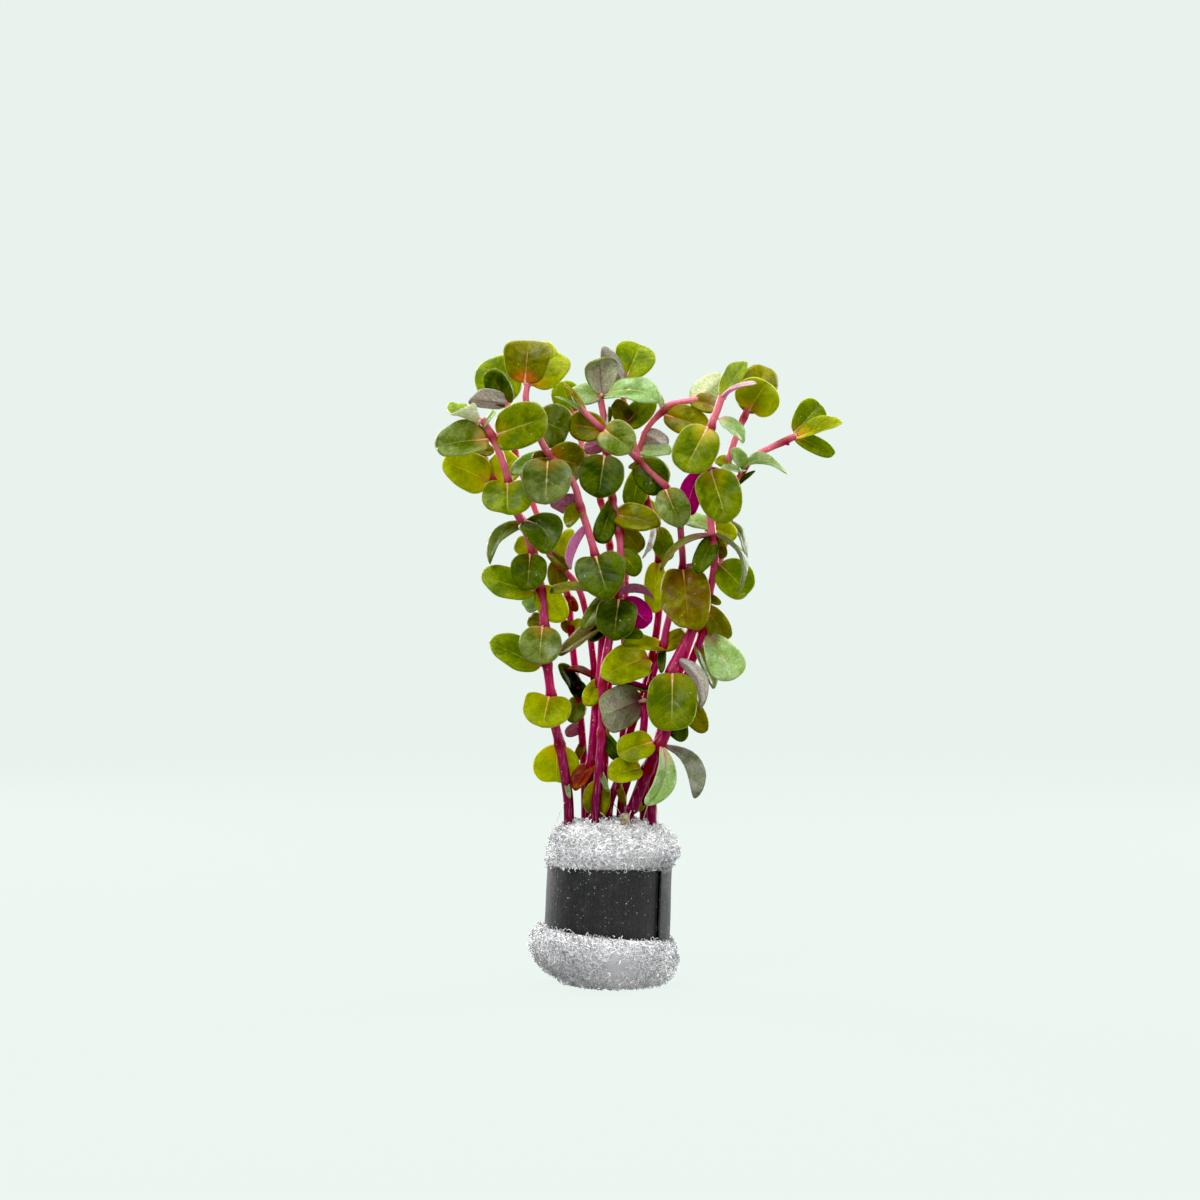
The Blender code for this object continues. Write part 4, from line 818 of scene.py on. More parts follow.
def make_stalk_material():
    material = new_material("pale stalk")
    tree = material.node_tree
    mottled = noise(tree, object_place(tree), 1500.0, 3.0)
    skin = blend_colours(tree, ramp(tree, mottled, 0.35, 0.65), STALK_PINK, STALK_CREAM)
    shader = principled(material)
    feed(tree, shader.inputs["Base Color"], skin)
    shader.inputs["Roughness"].default_value = 0.42
    add_relief(material, mottled, 0.08 * MM)
    shine_through(material, skin, 0.3)
    return material


PALE_STALK = make_stalk_material()
print("material:", PALE_STALK.name)

# %% [markdown]
# The line of a stem is smoothed through its row's points, and its thickness swells at each joint. Both stay
# on the model's own line, so that the leaves meet it.

# %% Where a stem runs
STEM_FOOT = 14.0
STEM_STEP = 0.7
JOINT_SWELL = 1.28
JOINT_LONG = 0.95


def place_on(path, height):
    """The point of a stem's line at this height, and the way the stem runs there."""
    for low, high in zip(path, path[1:]):
        if height <= high.z or high is path[-1]:
            share = (height - low.z) / (high.z - low.z)
            return low.lerp(high, share), (high - low).normalized()


def stem_path(shoot):
    points = [Vector(point) for point in SHOOTS[shoot][2]]
    foot = points[0].copy()
    foot.z = STEM_FOOT
    return [foot] + points


def stem_radius(shoot, height):
    (foot, tip), _, points = SHOOTS[shoot]
    share = max(0.0, height - points[0][2]) / (points[-1][2] - points[0][2])
    return (foot + (tip - foot) * share) / 2


def smooth_line(points, step):
    """Points a step apart on a curve that passes through these points."""
    ends = [points[0] * 2 - points[1], *points, points[-1] * 2 - points[-2]]
    line = []
    for before, one, other, after in zip(ends, ends[1:], ends[2:], ends[3:]):
        count = max(1, round((other - one).length / step))
        for number in range(count):
            t = number / count
            bow = (before * 2 - one * 5 + other * 4 - after) * t * t
            turn = (one * 3 - before - other * 3 + after) * t * t * t
            line.append(0.5 * (one * 2 + (other - before) * t + bow + turn))
    return line + [points[-1]]


lengths = [sum((b - a).length for a, b in zip(stem_path(s), stem_path(s)[1:])) for s in SHOOTS]
print(f"stems are {min(lengths):.0f} to {max(lengths):.0f} mm long")

# %% [markdown]
# A round stem is a tube along a line, which is what Curve to Mesh does. The line is a bare mesh of points
# and edges, because its points can carry attributes: the thickness, which scales the tube's ring, and the
# joints, which the tube's material reads. The same tree makes the midribs' thick starts, the cut stub and
# the root hairs.

# %% Helpers for Geometry Nodes
def geometry_tree(name, inputs):
    """A Geometry Nodes tree that takes and gives geometry, with these further named inputs."""
    tree = bpy.data.node_groups.new(name, "GeometryNodeTree")
    tree.interface.new_socket("Geometry", in_out="INPUT", socket_type="NodeSocketGeometry")
    for label, kind in inputs:
        tree.interface.new_socket(label, in_out="INPUT", socket_type=kind)
    tree.interface.new_socket("Geometry", in_out="OUTPUT", socket_type="NodeSocketGeometry")
    return tree, tree.nodes.new("NodeGroupInput").outputs, tree.nodes.new("NodeGroupOutput").inputs


def named_value(tree, name, kind="FLOAT"):
    node = add_node(tree, "GeometryNodeInputNamedAttribute", data_type=kind)
    node.inputs["Name"].default_value = name
    return node.outputs["Attribute"]


def passed(tree, kind, geometry, **inputs):
    """Sends geometry through one node and returns what comes out."""
    node = add_node(tree, kind)
    tree.links.new(geometry, node.inputs[0])
    for name, value in inputs.items():
        feed(tree, node.inputs[name.replace("_", " ")], value)
    return node.outputs[0]


print("node groups so far:", len(bpy.data.node_groups))

# %% Geometry Nodes: a tube along a line
def make_tube_tree():
    tree, given, made = geometry_tree("Tube along a line", [("Sides", "NodeSocketInt"),
                                                            ("Skin", "NodeSocketMaterial")])
    line = passed(tree, "GeometryNodeMeshToCurve", given["Geometry"])
    ring = add_node(tree, "GeometryNodeCurvePrimitiveCircle")
    feed(tree, ring.inputs["Resolution"], given["Sides"])
    ring.inputs["Radius"].default_value = 1.0
    tube = add_node(tree, "GeometryNodeCurveToMesh")
    tree.links.new(line, tube.inputs["Curve"])
    tree.links.new(ring.outputs["Curve"], tube.inputs["Profile Curve"])
    feed(tree, tube.inputs["Scale"], named_value(tree, "thickness"))
    tube.inputs["Fill Caps"].default_value = True
    solid = passed(tree, "GeometryNodeSetShadeSmooth", tube.outputs[0])
    solid = passed(tree, "GeometryNodeRealizeInstances", solid)
    solid = passed(tree, "GeometryNodeSetMaterial", solid, Material=given["Skin"])
    tree.links.new(solid, made["Geometry"])
    return tree


TUBE_TREE = make_tube_tree()
print("tree:", TUBE_TREE.name)

# %% [markdown]
# A tree runs as a modifier on a source mesh. Its inputs are set by their identifiers before the object is
# first worked out, and what comes out is kept as a plain mesh, because the finished piece has no modifier
# left.

# %% From a tree to a plain mesh
def put_in_scene(name, data):
    thing = bpy.data.objects.new(name, data)
    bpy.context.scene.collection.objects.link(thing)
    return thing


def plain_mesh(source):
    """The mesh that an object's modifiers make. The object itself isn't needed any more."""
    bpy.context.view_layer.update()
    graph = bpy.context.evaluated_depsgraph_get()
    mesh = bpy.data.meshes.new_from_object(source.evaluated_get(graph))
    bpy.data.objects.remove(source)
    return mesh


def grow(name, mesh, tree, **values):
    """Runs a tree on a mesh and returns its result as a plain mesh object."""
    source = put_in_scene(name + " source", mesh)
    modifier = source.modifiers.new("grow", "NODES")
    modifier.node_group = tree
    for item in tree.interface.items_tree:
        key = item.name.replace(" ", "_")
        if item.in_out == "INPUT" and key in values:
            modifier[item.identifier] = values[key]
    grown = plain_mesh(source)
    grown.name = name
    return put_in_scene(name, grown)


LINE_VALUES = ("thickness", "joint", "tone")


def lines_mesh(name, lines):
    """A mesh of loose lines. Each is its points in millimetres, their radii and joint marks, and its tone."""
    mesh = bpy.data.meshes.new(name)
    points, edges, radii, marks, tones = [], [], [], [], []
    for line, thick, joint, tone in lines:
        first = len(points)
        points += [point * MM for point in line]
        edges += [(first + n, first + n + 1) for n in range(len(line) - 1)]
        radii += [radius * MM for radius in thick]
        marks += joint
        tones += [tone] * len(line)
    mesh.from_pydata(points, edges, [])
    for label, values in zip(LINE_VALUES, (radii, marks, tones)):
        mesh.attributes.new(label, "FLOAT", "POINT").data.foreach_set("value", values)
    return mesh


print("a line carries:", LINE_VALUES)

# %% [markdown]
# Each stem now grows along its line. The joint's mark fades out within two millimetres to each side of it.
# A lighter or darker tone for each shoot keeps the twelve from looking alike.

# %% The twelve stems
STEM_SIDES = 14
STEM_TONES = {"left_front": 0.55, "left_middle": 0.6, "centre_front": 0.35, "left_outer": 0.9,
              "left_back": 0.9, "centre_back": 0.8, "right_branch": 0.6, "centre_right": 0.45,
              "diagonal": 0.4, "right_inner": 0.55, "right_front": 0.75, "right_outer": 0.8}


def joint_mark(shoot, height):
    nearest = min(abs(height - joint) for joint in SHOOTS[shoot][1])
    return math.exp(-(nearest / JOINT_LONG) ** 2)


def grow_stem(shoot):
    line = smooth_line(stem_path(shoot), STEM_STEP)
    marks = [joint_mark(shoot, point.z) for point in line]
    radii = [stem_radius(shoot, point.z) * (1 + (JOINT_SWELL - 1) * mark) for point, mark in zip(line, marks)]
    mesh = lines_mesh("stem line", [(line, radii, marks, STEM_TONES[shoot])])
    return grow("shoot_" + shoot, mesh, TUBE_TREE, Sides=STEM_SIDES, Skin=STEM_BARK)


STEMS = {shoot: grow_stem(shoot) for shoot in SHOOTS}
print("stem faces:", sum(len(stem.data.polygons) for stem in STEMS.values()))

# %% [markdown]
# The outline of a blade starts as an ellipse. It is fuller at its shoulders, has a notch where it sits on
# the joint, and no two leaves are even. Over it the sheet rises and falls: its sides cup, its middle
# arches, a groove follows the midrib, slow waves run round the rim, and some leaves fold or roll a part of
# their rim over. All of it is worked out for many points at once.

# %% Where a blade lies
BASE_SUNK = 0.9


def leaf_frame(row):
    """The base of a leaf's blade, its directions along, across and out of the upper side, and its length."""
    centre, run = place_on(stem_path(row["shoot"]), row["height"])
    reach = row["tip"] - centre
    radius = stem_radius(row["shoot"], row["height"])
    if row["own"]:
        base = centre + (reach - reach.dot(run) * run).normalized() * radius * JOINT_SWELL
    else:
        base = centre - reach.normalized() * radius * BASE_SUNK
    along = row["tip"] - base
    length = along.length
    along.normalize()
    out = (row["face"] - row["face"].dot(along) * along).normalized()
    return base, along, out.cross(along), out, length


print("a leaf is", round(leaf_frame(LEAVES[0])[4], 1), "mm long")

# %% The outline and the rise of a blade
GROOVE_DEEP, GROOVE_WIDE = 0.32, 0.42
CHEEK_RISE, RIM_DROP = 0.035, 0.06
NOTCH_WIDE, TIP_SHARPNESS = 0.4, 9
UNEVEN = (0.022, 0.02, 0.009)


def outline(row, angle, phases):
    """How far the rim lies out from a plain ellipse at each angle."""
    power = 2 + row["full"]
    full = (np.abs(np.cos(angle)) ** power + np.abs(np.sin(angle)) ** power) ** (-1 / power)
    uneven = (UNEVEN[0] * np.sin(2 * angle + phases[0]) + UNEVEN[1] * np.sin(3 * angle + phases[1])
              + UNEVEN[2] * np.sin(6 * angle + phases[2]))
    return full * (1 + uneven * (1 + np.cos(angle)) / 2)


def rise_of(row, length, share, angle, s, off, phases):
    """How far the sheet lies out from its plane. `s` goes from 0 at the base to 1 at the tip."""
    half = row["width"] / 2
    rise = row["cup"] * off * off / half + 4 * row["arch"] * length * s * (1 - s) + row["fold"] * off
    rise -= GROOVE_DEEP * np.exp(-(off / GROOVE_WIDE) ** 2) * (1 - 0.85 * s)
    rise += CHEEK_RISE * half * np.sin(math.pi * np.clip(off / half, 0, 1))
    swell = row["wave"] * min(1.0, half / 4) * share ** 2 * np.clip(s / 0.35, 0, 1)
    rise += swell * (np.sin(2 * angle + phases[3]) + 0.7 * np.sin(3 * angle + phases[4]))
    rise += 0.35 * swell * np.sin(7 * angle + phases[5])
    return rise - RIM_DROP * half * np.clip((share - 0.8) / 0.2, 0, 1) ** 2


def rolled_rim(lip, share, angle, radius):
    """Rolls the rim over towards the upper side: how far each point moves in, and how far up."""
    middle, spread, reach, turn = lip
    gap = (angle - math.radians(middle) + math.pi) % math.tau - math.pi
    reach = reach * np.exp(-(gap / math.radians(spread)) ** 2) + 1e-6
    past = np.clip((share - 1 + reach) / reach, 0, 1)
    bow = radius * reach / math.radians(turn)
    theta = past * math.radians(turn)
    return past * radius * reach - bow * np.sin(theta), bow * (1 - np.cos(theta))


def blade_surface(row, length, share, angle, phases):
    """How far along, across and out the blade's middle sheet lies at these shares and angles."""
    lobe, half = row["lobe"], row["width"] / 2
    dent = np.exp(-((angle - math.pi) / NOTCH_WIDE) ** 2) * share ** 2
    notch = 1 - dent * 2 * lobe / (1 + lobe)
    reach = share * (1 + (outline(row, angle, phases) - 1) * share ** 2)
    x = length * (0.5 * (1 - lobe) + 0.5 * (1 + lobe) * reach * np.cos(angle) * notch)
    x += row["point"] * length * np.clip(np.cos(angle), 0, 1) ** TIP_SHARPNESS * share ** 2
    y = half * reach * np.sin(angle) * (1 + row["taper"] * np.cos(angle))
    s = x / length
    rise = rise_of(row, length, share, angle, s, np.abs(y), phases)
    if row["lip"]:
        inward, up = rolled_rim(row["lip"], share, angle, (length / 2 + half) / 2)
        x, y, rise = x - inward * np.cos(angle), y - inward * np.sin(angle), rise + up
    y = y + 4 * row["bend"] * length * s * (1 - s)
    return x, y, rise


print("the rim at 45 degrees lies out by", outline({"full": 0.25}, np.array([math.pi / 4]), [0] * 6).round(3))

# %% [markdown]
# The blade's mesh is a round grid of rings and spokes, so its rim is a clean closed line. It has an upper
# and a lower sheet that meet at the rim, and the midrib stands out below as a low ridge.

# %% The mesh of a blade
BLADE_THICK = 0.26
RIDGE_DEEP, RIDGE_WIDE = 0.2, 0.35
LARGE_GRID = ((0.16, 0.32, 0.48, 0.62, 0.75, 0.85, 0.93, 1.0), 48)
SMALL_GRID = ((0.22, 0.45, 0.67, 0.85, 1.0), 28)


def make_blade(row, phases):
    """One closed blade: its points in millimetres, its faces, its blade attribute and each point's side."""
    base, along, across, out, length = leaf_frame(row)
    shares, spokes = LARGE_GRID if row["own"] else SMALL_GRID
    share = np.repeat(np.array(shares), spokes)
    angle = np.tile(np.arange(spokes) * math.tau / spokes, len(shares))
    share, angle = np.append(share, 0.0), np.append(angle, 0.0)
    x, y, rise = blade_surface(row, length, share, angle, phases)
    axes = np.array([along, across, out])
    middle = np.array(base) + np.stack([x, y, rise], axis=1) @ axes
    rings, rim = len(shares), (len(shares) - 1) * spokes
    normal = sheet_normals(middle, rings, spokes, axes[2])
    thick = BLADE_THICK / 2 * (1 - 0.5 * share ** 3)[:, None] * normal
    ridge = RIDGE_DEEP * np.exp(-(np.abs(y) / RIDGE_WIDE) ** 2) * np.clip(1.1 - x / length, 0, 1)
    upper, lower = middle + thick, middle - thick - ridge[:, None] * normal
    upper[rim:rim + spokes] = middle[rim:rim + spokes]
    points = np.concatenate([upper, lower[:rim], lower[-1:]])
    hub, under, under_hub = rings * spokes, rings * spokes + 1, rings * spokes + 1 + rim
    faces = []
    for spoke in range(spokes):
        other = (spoke + 1) % spokes
        faces.append((hub, spoke, other))
        faces.append((under_hub, under + other, under + spoke))
        for ring in range(rings - 1):
            a, b = ring * spokes + spoke, ring * spokes + other
            faces.append((a, a + spokes, b + spokes, b))
            c, d = under + a, under + b
            e, f = (c + spokes, d + spokes) if ring < rings - 2 else (a + spokes, b + spokes)
            faces.append((c, d, f, e))
    even = np.cos(angle) * share * 0.5 + 0.5
    flat = np.stack([even + (x / length - even) * 0.5, np.sin(angle) * share, share], axis=1)
    blade = np.concatenate([flat, flat[:rim], flat[-1:]])
    side = np.concatenate([np.ones(len(flat)), np.zeros(rim + 1)])
    return points, faces, blade, side


def sheet_normals(middle, rings, spokes, out):
    """The direction out of the sheet at each of its points, from its neighbours in the round grid."""
    grid = middle[:-1].reshape(rings, spokes, 3)
    round_about = np.roll(grid, -1, axis=1) - np.roll(grid, 1, axis=1)
    outward = np.gradient(grid, axis=0)
    normal = np.cross(outward, round_about).reshape(-1, 3)
    normal = np.append(normal, out[None], axis=0)
    return normal / np.linalg.norm(normal, axis=1)[:, None]


phases = np.random.default_rng(SEED).uniform(0, math.tau, 6)
print("points in a large blade:", len(make_blade(LEAVES[0], phases)[0]))

# %% The line of a midrib's thick start
RIB_SHARES = np.array([1.0, 0.88, 0.76, 0.64, 0.5])
RIB_TAPER = (1.4, 1.2, 0.95, 0.7, 0.5, 0.36, 0.2)
RIB_MOST, RIB_TO_WIDTH = 0.5, 0.055


def rib_line(row, phases):
    """From inside the stem and out along the blade's upper face, with its radii."""
    base, along, across, out, length = leaf_frame(row)
    centre, _ = place_on(stem_path(row["shoot"]), row["height"])
    backwards = np.full(len(RIB_SHARES), math.pi)
    x, y, rise = blade_surface(row | {"lip": None}, length, RIB_SHARES, backwards, phases)
    line = [base + along * a + across * b + out * (c + BLADE_THICK / 4) for a, b, c in zip(x, y, rise)]
    thick = min(RIB_MOST, row["width"] * RIB_TO_WIDTH)
    return [centre, centre.lerp(line[0], 0.5)] + line, [thick * share for share in RIB_TAPER]


print("a midrib's thick start has", len(rib_line(LEAVES[0], phases)[0]), "points")

# %% [markdown]
# A blade's mesh gets its attributes and its material, and the thick pale start of its midrib ties it to the
# stem: it is the same tube as a stem's. A large leaf is a piece of its own that stands for its node, and
# the young leaves of a shoot are joined to the stem that bears them, as they are in the model.

# %% One leaf as an object
STALK_SIDES, STALK_TONE = 8, 0.9


def blade_object(name, row, chance, phases):
    points, faces, blade, side = make_blade(row, phases)
    mesh = bpy.data.meshes.new(name)
    mesh.from_pydata(points * MM, [], faces)
    mesh.attributes.new("blade", "FLOAT_VECTOR", "POINT").data.foreach_set("vector", blade.ravel())
    mesh.attributes.new("side", "FLOAT", "POINT").data.foreach_set("value", side)
    tone, flush = row.get("tone", chance.uniform(0, 1)), row.get("flush", chance.uniform(0.2, 0.8))
    for label, value in (("tone", tone), ("flush", flush)):
        mesh.attributes.new(label, "FLOAT", "POINT").data.foreach_set("value", [value] * len(points))
    mesh.materials.append(LEAF_MATERIALS[row["look"]])
    mesh.shade_smooth()
    return put_in_scene(name, mesh)


def join_pieces(main, others):
    with bpy.context.temp_override(active_object=main, object=main, selected_editable_objects=[main, *others],
                                   selected_objects=[main, *others]):
        bpy.ops.object.join()
    return main


def rib_object(name, row, phases):
    line, radii = rib_line(row, phases)
    mesh = lines_mesh("midrib line", [(line, radii, [0.0] * len(line), STALK_TONE)])
    return grow(name, mesh, TUBE_TREE, Sides=STALK_SIDES, Skin=PALE_STALK)


print("a midrib's start has", STALK_SIDES, "sides")

# %% Make every leaf and join the young ones to their stems
FOLD_VARIES, WAVE_VARIES = (0, 0.12), (0.8, 2.2)


def stands_for(piece, node):
    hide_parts(node)
    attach(piece, "root")


counts = {shoot: 0 for shoot in SHOOTS}
young_pieces = {shoot: [] for shoot in SHOOTS}
for number, row in enumerate(LEAVES):
    chance = np.random.default_rng(SEED * 1000 + number)
    phases = chance.uniform(0, math.tau, 6)
    row = row | {"fold": row["fold"] + chance.uniform(*FOLD_VARIES),
                 "wave": row["wave"] * chance.uniform(*WAVE_VARIES)}
    piece = blade_object(f"young_{number}", row, chance, phases)
    join_pieces(piece, [rib_object(f"midrib_{number}", row, phases)])
    if not row["own"]:
        young_pieces[row["shoot"]].append(piece)
        continue
    counts[row["shoot"]] += 1
    number_on_shoot = f"{row['shoot']}_{counts[row['shoot']]}"
    piece.name = "blade_" + number_on_shoot
    stands_for(piece, "leaf_" + number_on_shoot)
for shoot, stem in STEMS.items():
    stands_for(join_pieces(stem, young_pieces[shoot]), "stem_" + shoot)
print("large leaves:", sum(counts.values()))
print("young leaves:", sum(len(found) for found in young_pieces.values()))

# %% [markdown]
# Open-celled foam is a web of thin plastic strands that curve round its cells. From a step away it looks like
# bright flecks over grey hollows. The plug is first a closed solid, turned round its axis, and a Voronoi
# pattern gives it grey cells, whose darker hollows are painted shade. Geometry Nodes then scatter thousands
# of small curved strands over it, each turned its own way, which also frays its outline as in the photo.

# %% The foam's material
# The hollows' grey is painted shade in the foam's cells.
SHADED_HOLLOW_GREY, WEB_GREY = (0.40, 0.40, 0.41, 1), (0.72, 0.72, 0.73, 1)
SHADED_STRAND, BRIGHT_STRAND = (0.34, 0.34, 0.35, 1), (0.99, 0.99, 0.99, 1)
WEB_CELLS_PER_METRE = 1100.0


def make_foam_material():
    material = new_material("open foam")
    tree = material.node_tree
    place = object_place(tree)
    cells = add_node(tree, "ShaderNodeTexVoronoi", feature="DISTANCE_TO_EDGE")
    feed(tree, cells.inputs["Vector"], place)
    feed(tree, cells.inputs["Scale"], WEB_CELLS_PER_METRE)
    web = ramp(tree, cells.outputs["Distance"], 0.02, 0.2, 1.0, 0.0)
    strand = read_attribute(tree, "strand", "Fac")
    openness = read_attribute(tree, "open", "Fac")
    web = calculate(tree, "MULTIPLY", web, ramp(tree, openness, 0.1, 0.7))
    # The darker hollows of the cells are painted shade.
    body = blend_colours(tree, web, SHADED_HOLLOW_GREY, WEB_GREY)
    cloud = calculate(tree, "MULTIPLY", ramp(tree, noise(tree, place, 230.0, 3.0), 0.42, 0.58, 0.15, 1.0),
                      ramp(tree, noise(tree, place, 900.0, 2.0), 0.36, 0.6, 0.3, 1.0))
    strands = blend_colours(tree, cloud, SHADED_STRAND, BRIGHT_STRAND)
    shader = principled(material)
    feed(tree, shader.inputs["Base Color"], blend_colours(tree, strand, body, strands))
    feed(tree, shader.inputs["Roughness"], calculate(tree, "MULTIPLY_ADD", strand, -0.4, 0.8))
    # The foam's faint glow of its own is painted light: it brightens the foam, which is no lamp.
    shader.inputs["Emission Color"].default_value = (0.9, 0.9, 0.9, 1)
    shader.inputs["Emission Strength"].default_value = 0.04
    add_relief(material, web, 0.3 * MM)
    return material


OPEN_FOAM = make_foam_material()
print("material:", OPEN_FOAM.name)

# %% [markdown]
# The plug's outline is the model's: wide at the foot, pinched at the waist by the strip, and domed at the
# top. A row of it holds a ring's radius, its height, and how far to the right its centre lies. The right
# side is drawn in lower, because the strip slants. The body stays a little inside the outline, so that the
# strands have room.

# %% The plug's body
PLUG_FOOT = (
    (6.6, 0.0, 1.5),
    (9.6, 0.8, 0.9),
    (12.7, 2.9, 0.0),
    (14.5, 6.2, -1.3),
    (14.4, 9.0, -1.6),
    (13.1, 10.6, -1.3),
    (11.3, 10.7, -0.9),
)
PLUG_HEAD = (
    (11.3, 24.2, -0.5),
    (12.5, 24.1, -0.4),
    (12.9, 25.4, 0.1),
    (13.0, 27.6, 0.5),
    (11.4, 30.8, 0.0),
    (7.6, 32.5, -0.5),
    (3.0, 33.1, -0.8),
)
PLUG_SPOKES, PLUG_STEP, WAIST_STEP = 120, 0.6, 1.5
STRAND_ROOM, FLOOR_GAP = 0.35, 0.05
STRIP_RADIUS = 11.5
STRIP_TOP, STRIP_TOP_FALL = 24.0, 0.3
STRIP_FOOT, STRIP_FOOT_FALL = 10.6, 1.2


def plug_fall(height):
    """How much lower the plug's right side is drawn in, following the strip's slanting foot."""
    if height < STRIP_FOOT:
        return STRIP_FOOT_FALL * (height / STRIP_FOOT) ** 2
    return STRIP_FOOT_FALL * max(0.0, 1 - (height - STRIP_FOOT) / (STRIP_TOP - STRIP_FOOT))


def plug_rings():
    """The profile's rings with rings between them, rounded at the foot and the top."""
    foot, head = ([Vector((radius - STRAND_ROOM, height, centre)) for radius, height, centre in part]
                  for part in (PLUG_FOOT, PLUG_HEAD))
    waist = smooth_line([foot[-1], head[0]], WAIST_STEP)[1:-1]
    return smooth_line(foot, PLUG_STEP) + waist + smooth_line(head, PLUG_STEP)


def make_plug_body():
    """The body as a bmesh lathe: one ring of points for each of the profile's rings."""
    rings = plug_rings()
    shaped = bmesh.new()
    loops = []
    for radius, height, centre in rings:
        loop = []
        for spoke in range(PLUG_SPOKES):
            angle = math.tau * spoke / PLUG_SPOKES
            across = math.cos(angle)
            x = centre + radius * across
            z = height - plug_fall(height) * radius * across / STRIP_RADIUS
            loop.append(shaped.verts.new((x * MM, radius * math.sin(angle) * MM, max(z, FLOOR_GAP) * MM)))
        loops.append(loop)
    for low, high in zip(loops, loops[1:]):
        for spoke in range(PLUG_SPOKES):
            other = (spoke + 1) % PLUG_SPOKES
            shaped.faces.new((low[spoke], low[other], high[other], high[spoke]))
    shaped.faces.new(list(reversed(loops[0])))
    shaped.faces.new(loops[-1])
    bmesh.ops.triangulate(shaped, faces=[face for face in shaped.faces if len(face.verts) > 4])
    mesh = bpy.data.meshes.new("plug body")
    shaped.to_mesh(mesh)
    shaped.free()
    mesh.shade_smooth()
    return mesh


PLUG_BODY = make_plug_body()
print("plug body points:", len(PLUG_BODY.vertices))

# %% [markdown]
# How thick the strands lie is an attribute of the body, `open`. It is nothing under the strip, and less in
# the smooth patch low at the front, which has a ragged edge.

# %% Where the foam's strands lie, and how thick
SMOOTH_PATCH, PATCH_REACH, PATCH_BARE = Vector((1.4, -13.0, 5.4)), 4.9, 0.92
HIDDEN_FROM, HIDDEN_TO = 12.6, 23.7


def strand_share(point):
    """How thick the strands lie at a point of the body, from 0 to 1."""
    if HIDDEN_FROM < point.z < HIDDEN_TO:
        return 0.0
    off = point - SMOOTH_PATCH
    off = Vector((off.x, off.y * 0.4, off.z * 1.5))
    ragged = 1.0 + 0.45 * math.sin(1.9 * point.x + 0.6) * math.cos(1.3 * point.z - 0.4 * point.x)
    return 1.0 - PATCH_BARE * math.exp(-(off.length * ragged / PATCH_REACH) ** 2)


shares = [strand_share(vertex.co / MM) for vertex in PLUG_BODY.vertices]
PLUG_BODY.attributes.new("open", "FLOAT", "POINT").data.foreach_set("value", shares)
print(f"strands lie from {min(shares):.2f} to {max(shares):.2f} as thick")

# %% [markdown]
# One strand is a short arc with a three-sided wire round it, because thousands of them have to stay light.
# The attribute `strand` marks it, so that the material tells it from the body. Distribute Points on Faces
# sets a point for each strand, and Random Value nodes turn it, size it and lift it off the body by a
# little.

# %% Parts of the foam's tree
STRAND_SWEEP = math.radians(130)
STRAND_SIDES = 3
STRAND_TILT, STRAND_SIZES, STRAND_LIFT = (1.3, 1.3, 3.1), (0.6, 1.3), (-0.3, 0.5)


def one_strand(tree, given):
    arc = add_node(tree, "GeometryNodeCurveArc")
    arc.inputs["Resolution"].default_value = STRAND_SIDES
    feed(tree, arc.inputs["Radius"], given["Cell radius"])
    arc.inputs["Sweep Angle"].default_value = STRAND_SWEEP
    wire = add_node(tree, "GeometryNodeCurvePrimitiveCircle")
    wire.inputs["Resolution"].default_value = STRAND_SIDES
    feed(tree, wire.inputs["Radius"], given["Strand radius"])
    strand = add_node(tree, "GeometryNodeCurveToMesh")
    tree.links.new(arc.outputs["Curve"], strand.inputs["Curve"])
    tree.links.new(wire.outputs["Curve"], strand.inputs["Profile Curve"])
    marked = add_node(tree, "GeometryNodeStoreNamedAttribute", data_type="FLOAT", domain="POINT")
    tree.links.new(strand.outputs[0], marked.inputs["Geometry"])
    marked.inputs["Name"].default_value = "strand"
    marked.inputs["Value"].default_value = 1.0
    return marked.outputs[0]


def random_number(tree, low, high):
    node = add_node(tree, "FunctionNodeRandomValue", data_type="FLOAT")
    node.inputs[2].default_value, node.inputs[3].default_value = low, high
    return node.outputs[1]


def lifted_points(tree, spread):
    """The scattered points, moved a random way in or out along the body's normal."""
    lifted = add_node(tree, "GeometryNodeSetPosition")
    tree.links.new(spread.outputs["Points"], lifted.inputs["Geometry"])
    offset = add_node(tree, "ShaderNodeVectorMath", operation="SCALE")
    tree.links.new(spread.outputs["Normal"], offset.inputs[0])
    away = random_number(tree, STRAND_LIFT[0] * MM, STRAND_LIFT[1] * MM)
    tree.links.new(away, offset.inputs["Scale"])
    tree.links.new(offset.outputs[0], lifted.inputs["Offset"])
    return lifted.outputs[0]


def random_turn(tree, spread):
    """Each strand's rotation: along the body, then turned at random."""
    tilt = add_node(tree, "FunctionNodeRandomValue", data_type="FLOAT_VECTOR")
    tilt.inputs[0].default_value = [-angle for angle in STRAND_TILT]
    tilt.inputs[1].default_value = STRAND_TILT
    turned = add_node(tree, "FunctionNodeRotateRotation", rotation_space="LOCAL")
    tree.links.new(spread.outputs["Rotation"], turned.inputs[0])
    tree.links.new(tilt.outputs[0], turned.inputs[1])
    return turned.outputs[0]


print(f"a strand sweeps {math.degrees(STRAND_SWEEP):.0f} degrees")

# %% Geometry Nodes: the foam's strands
FOAM_CELLS, CELL_RADIUS, STRAND_RADIUS = 4.4e6, 0.42, 0.09


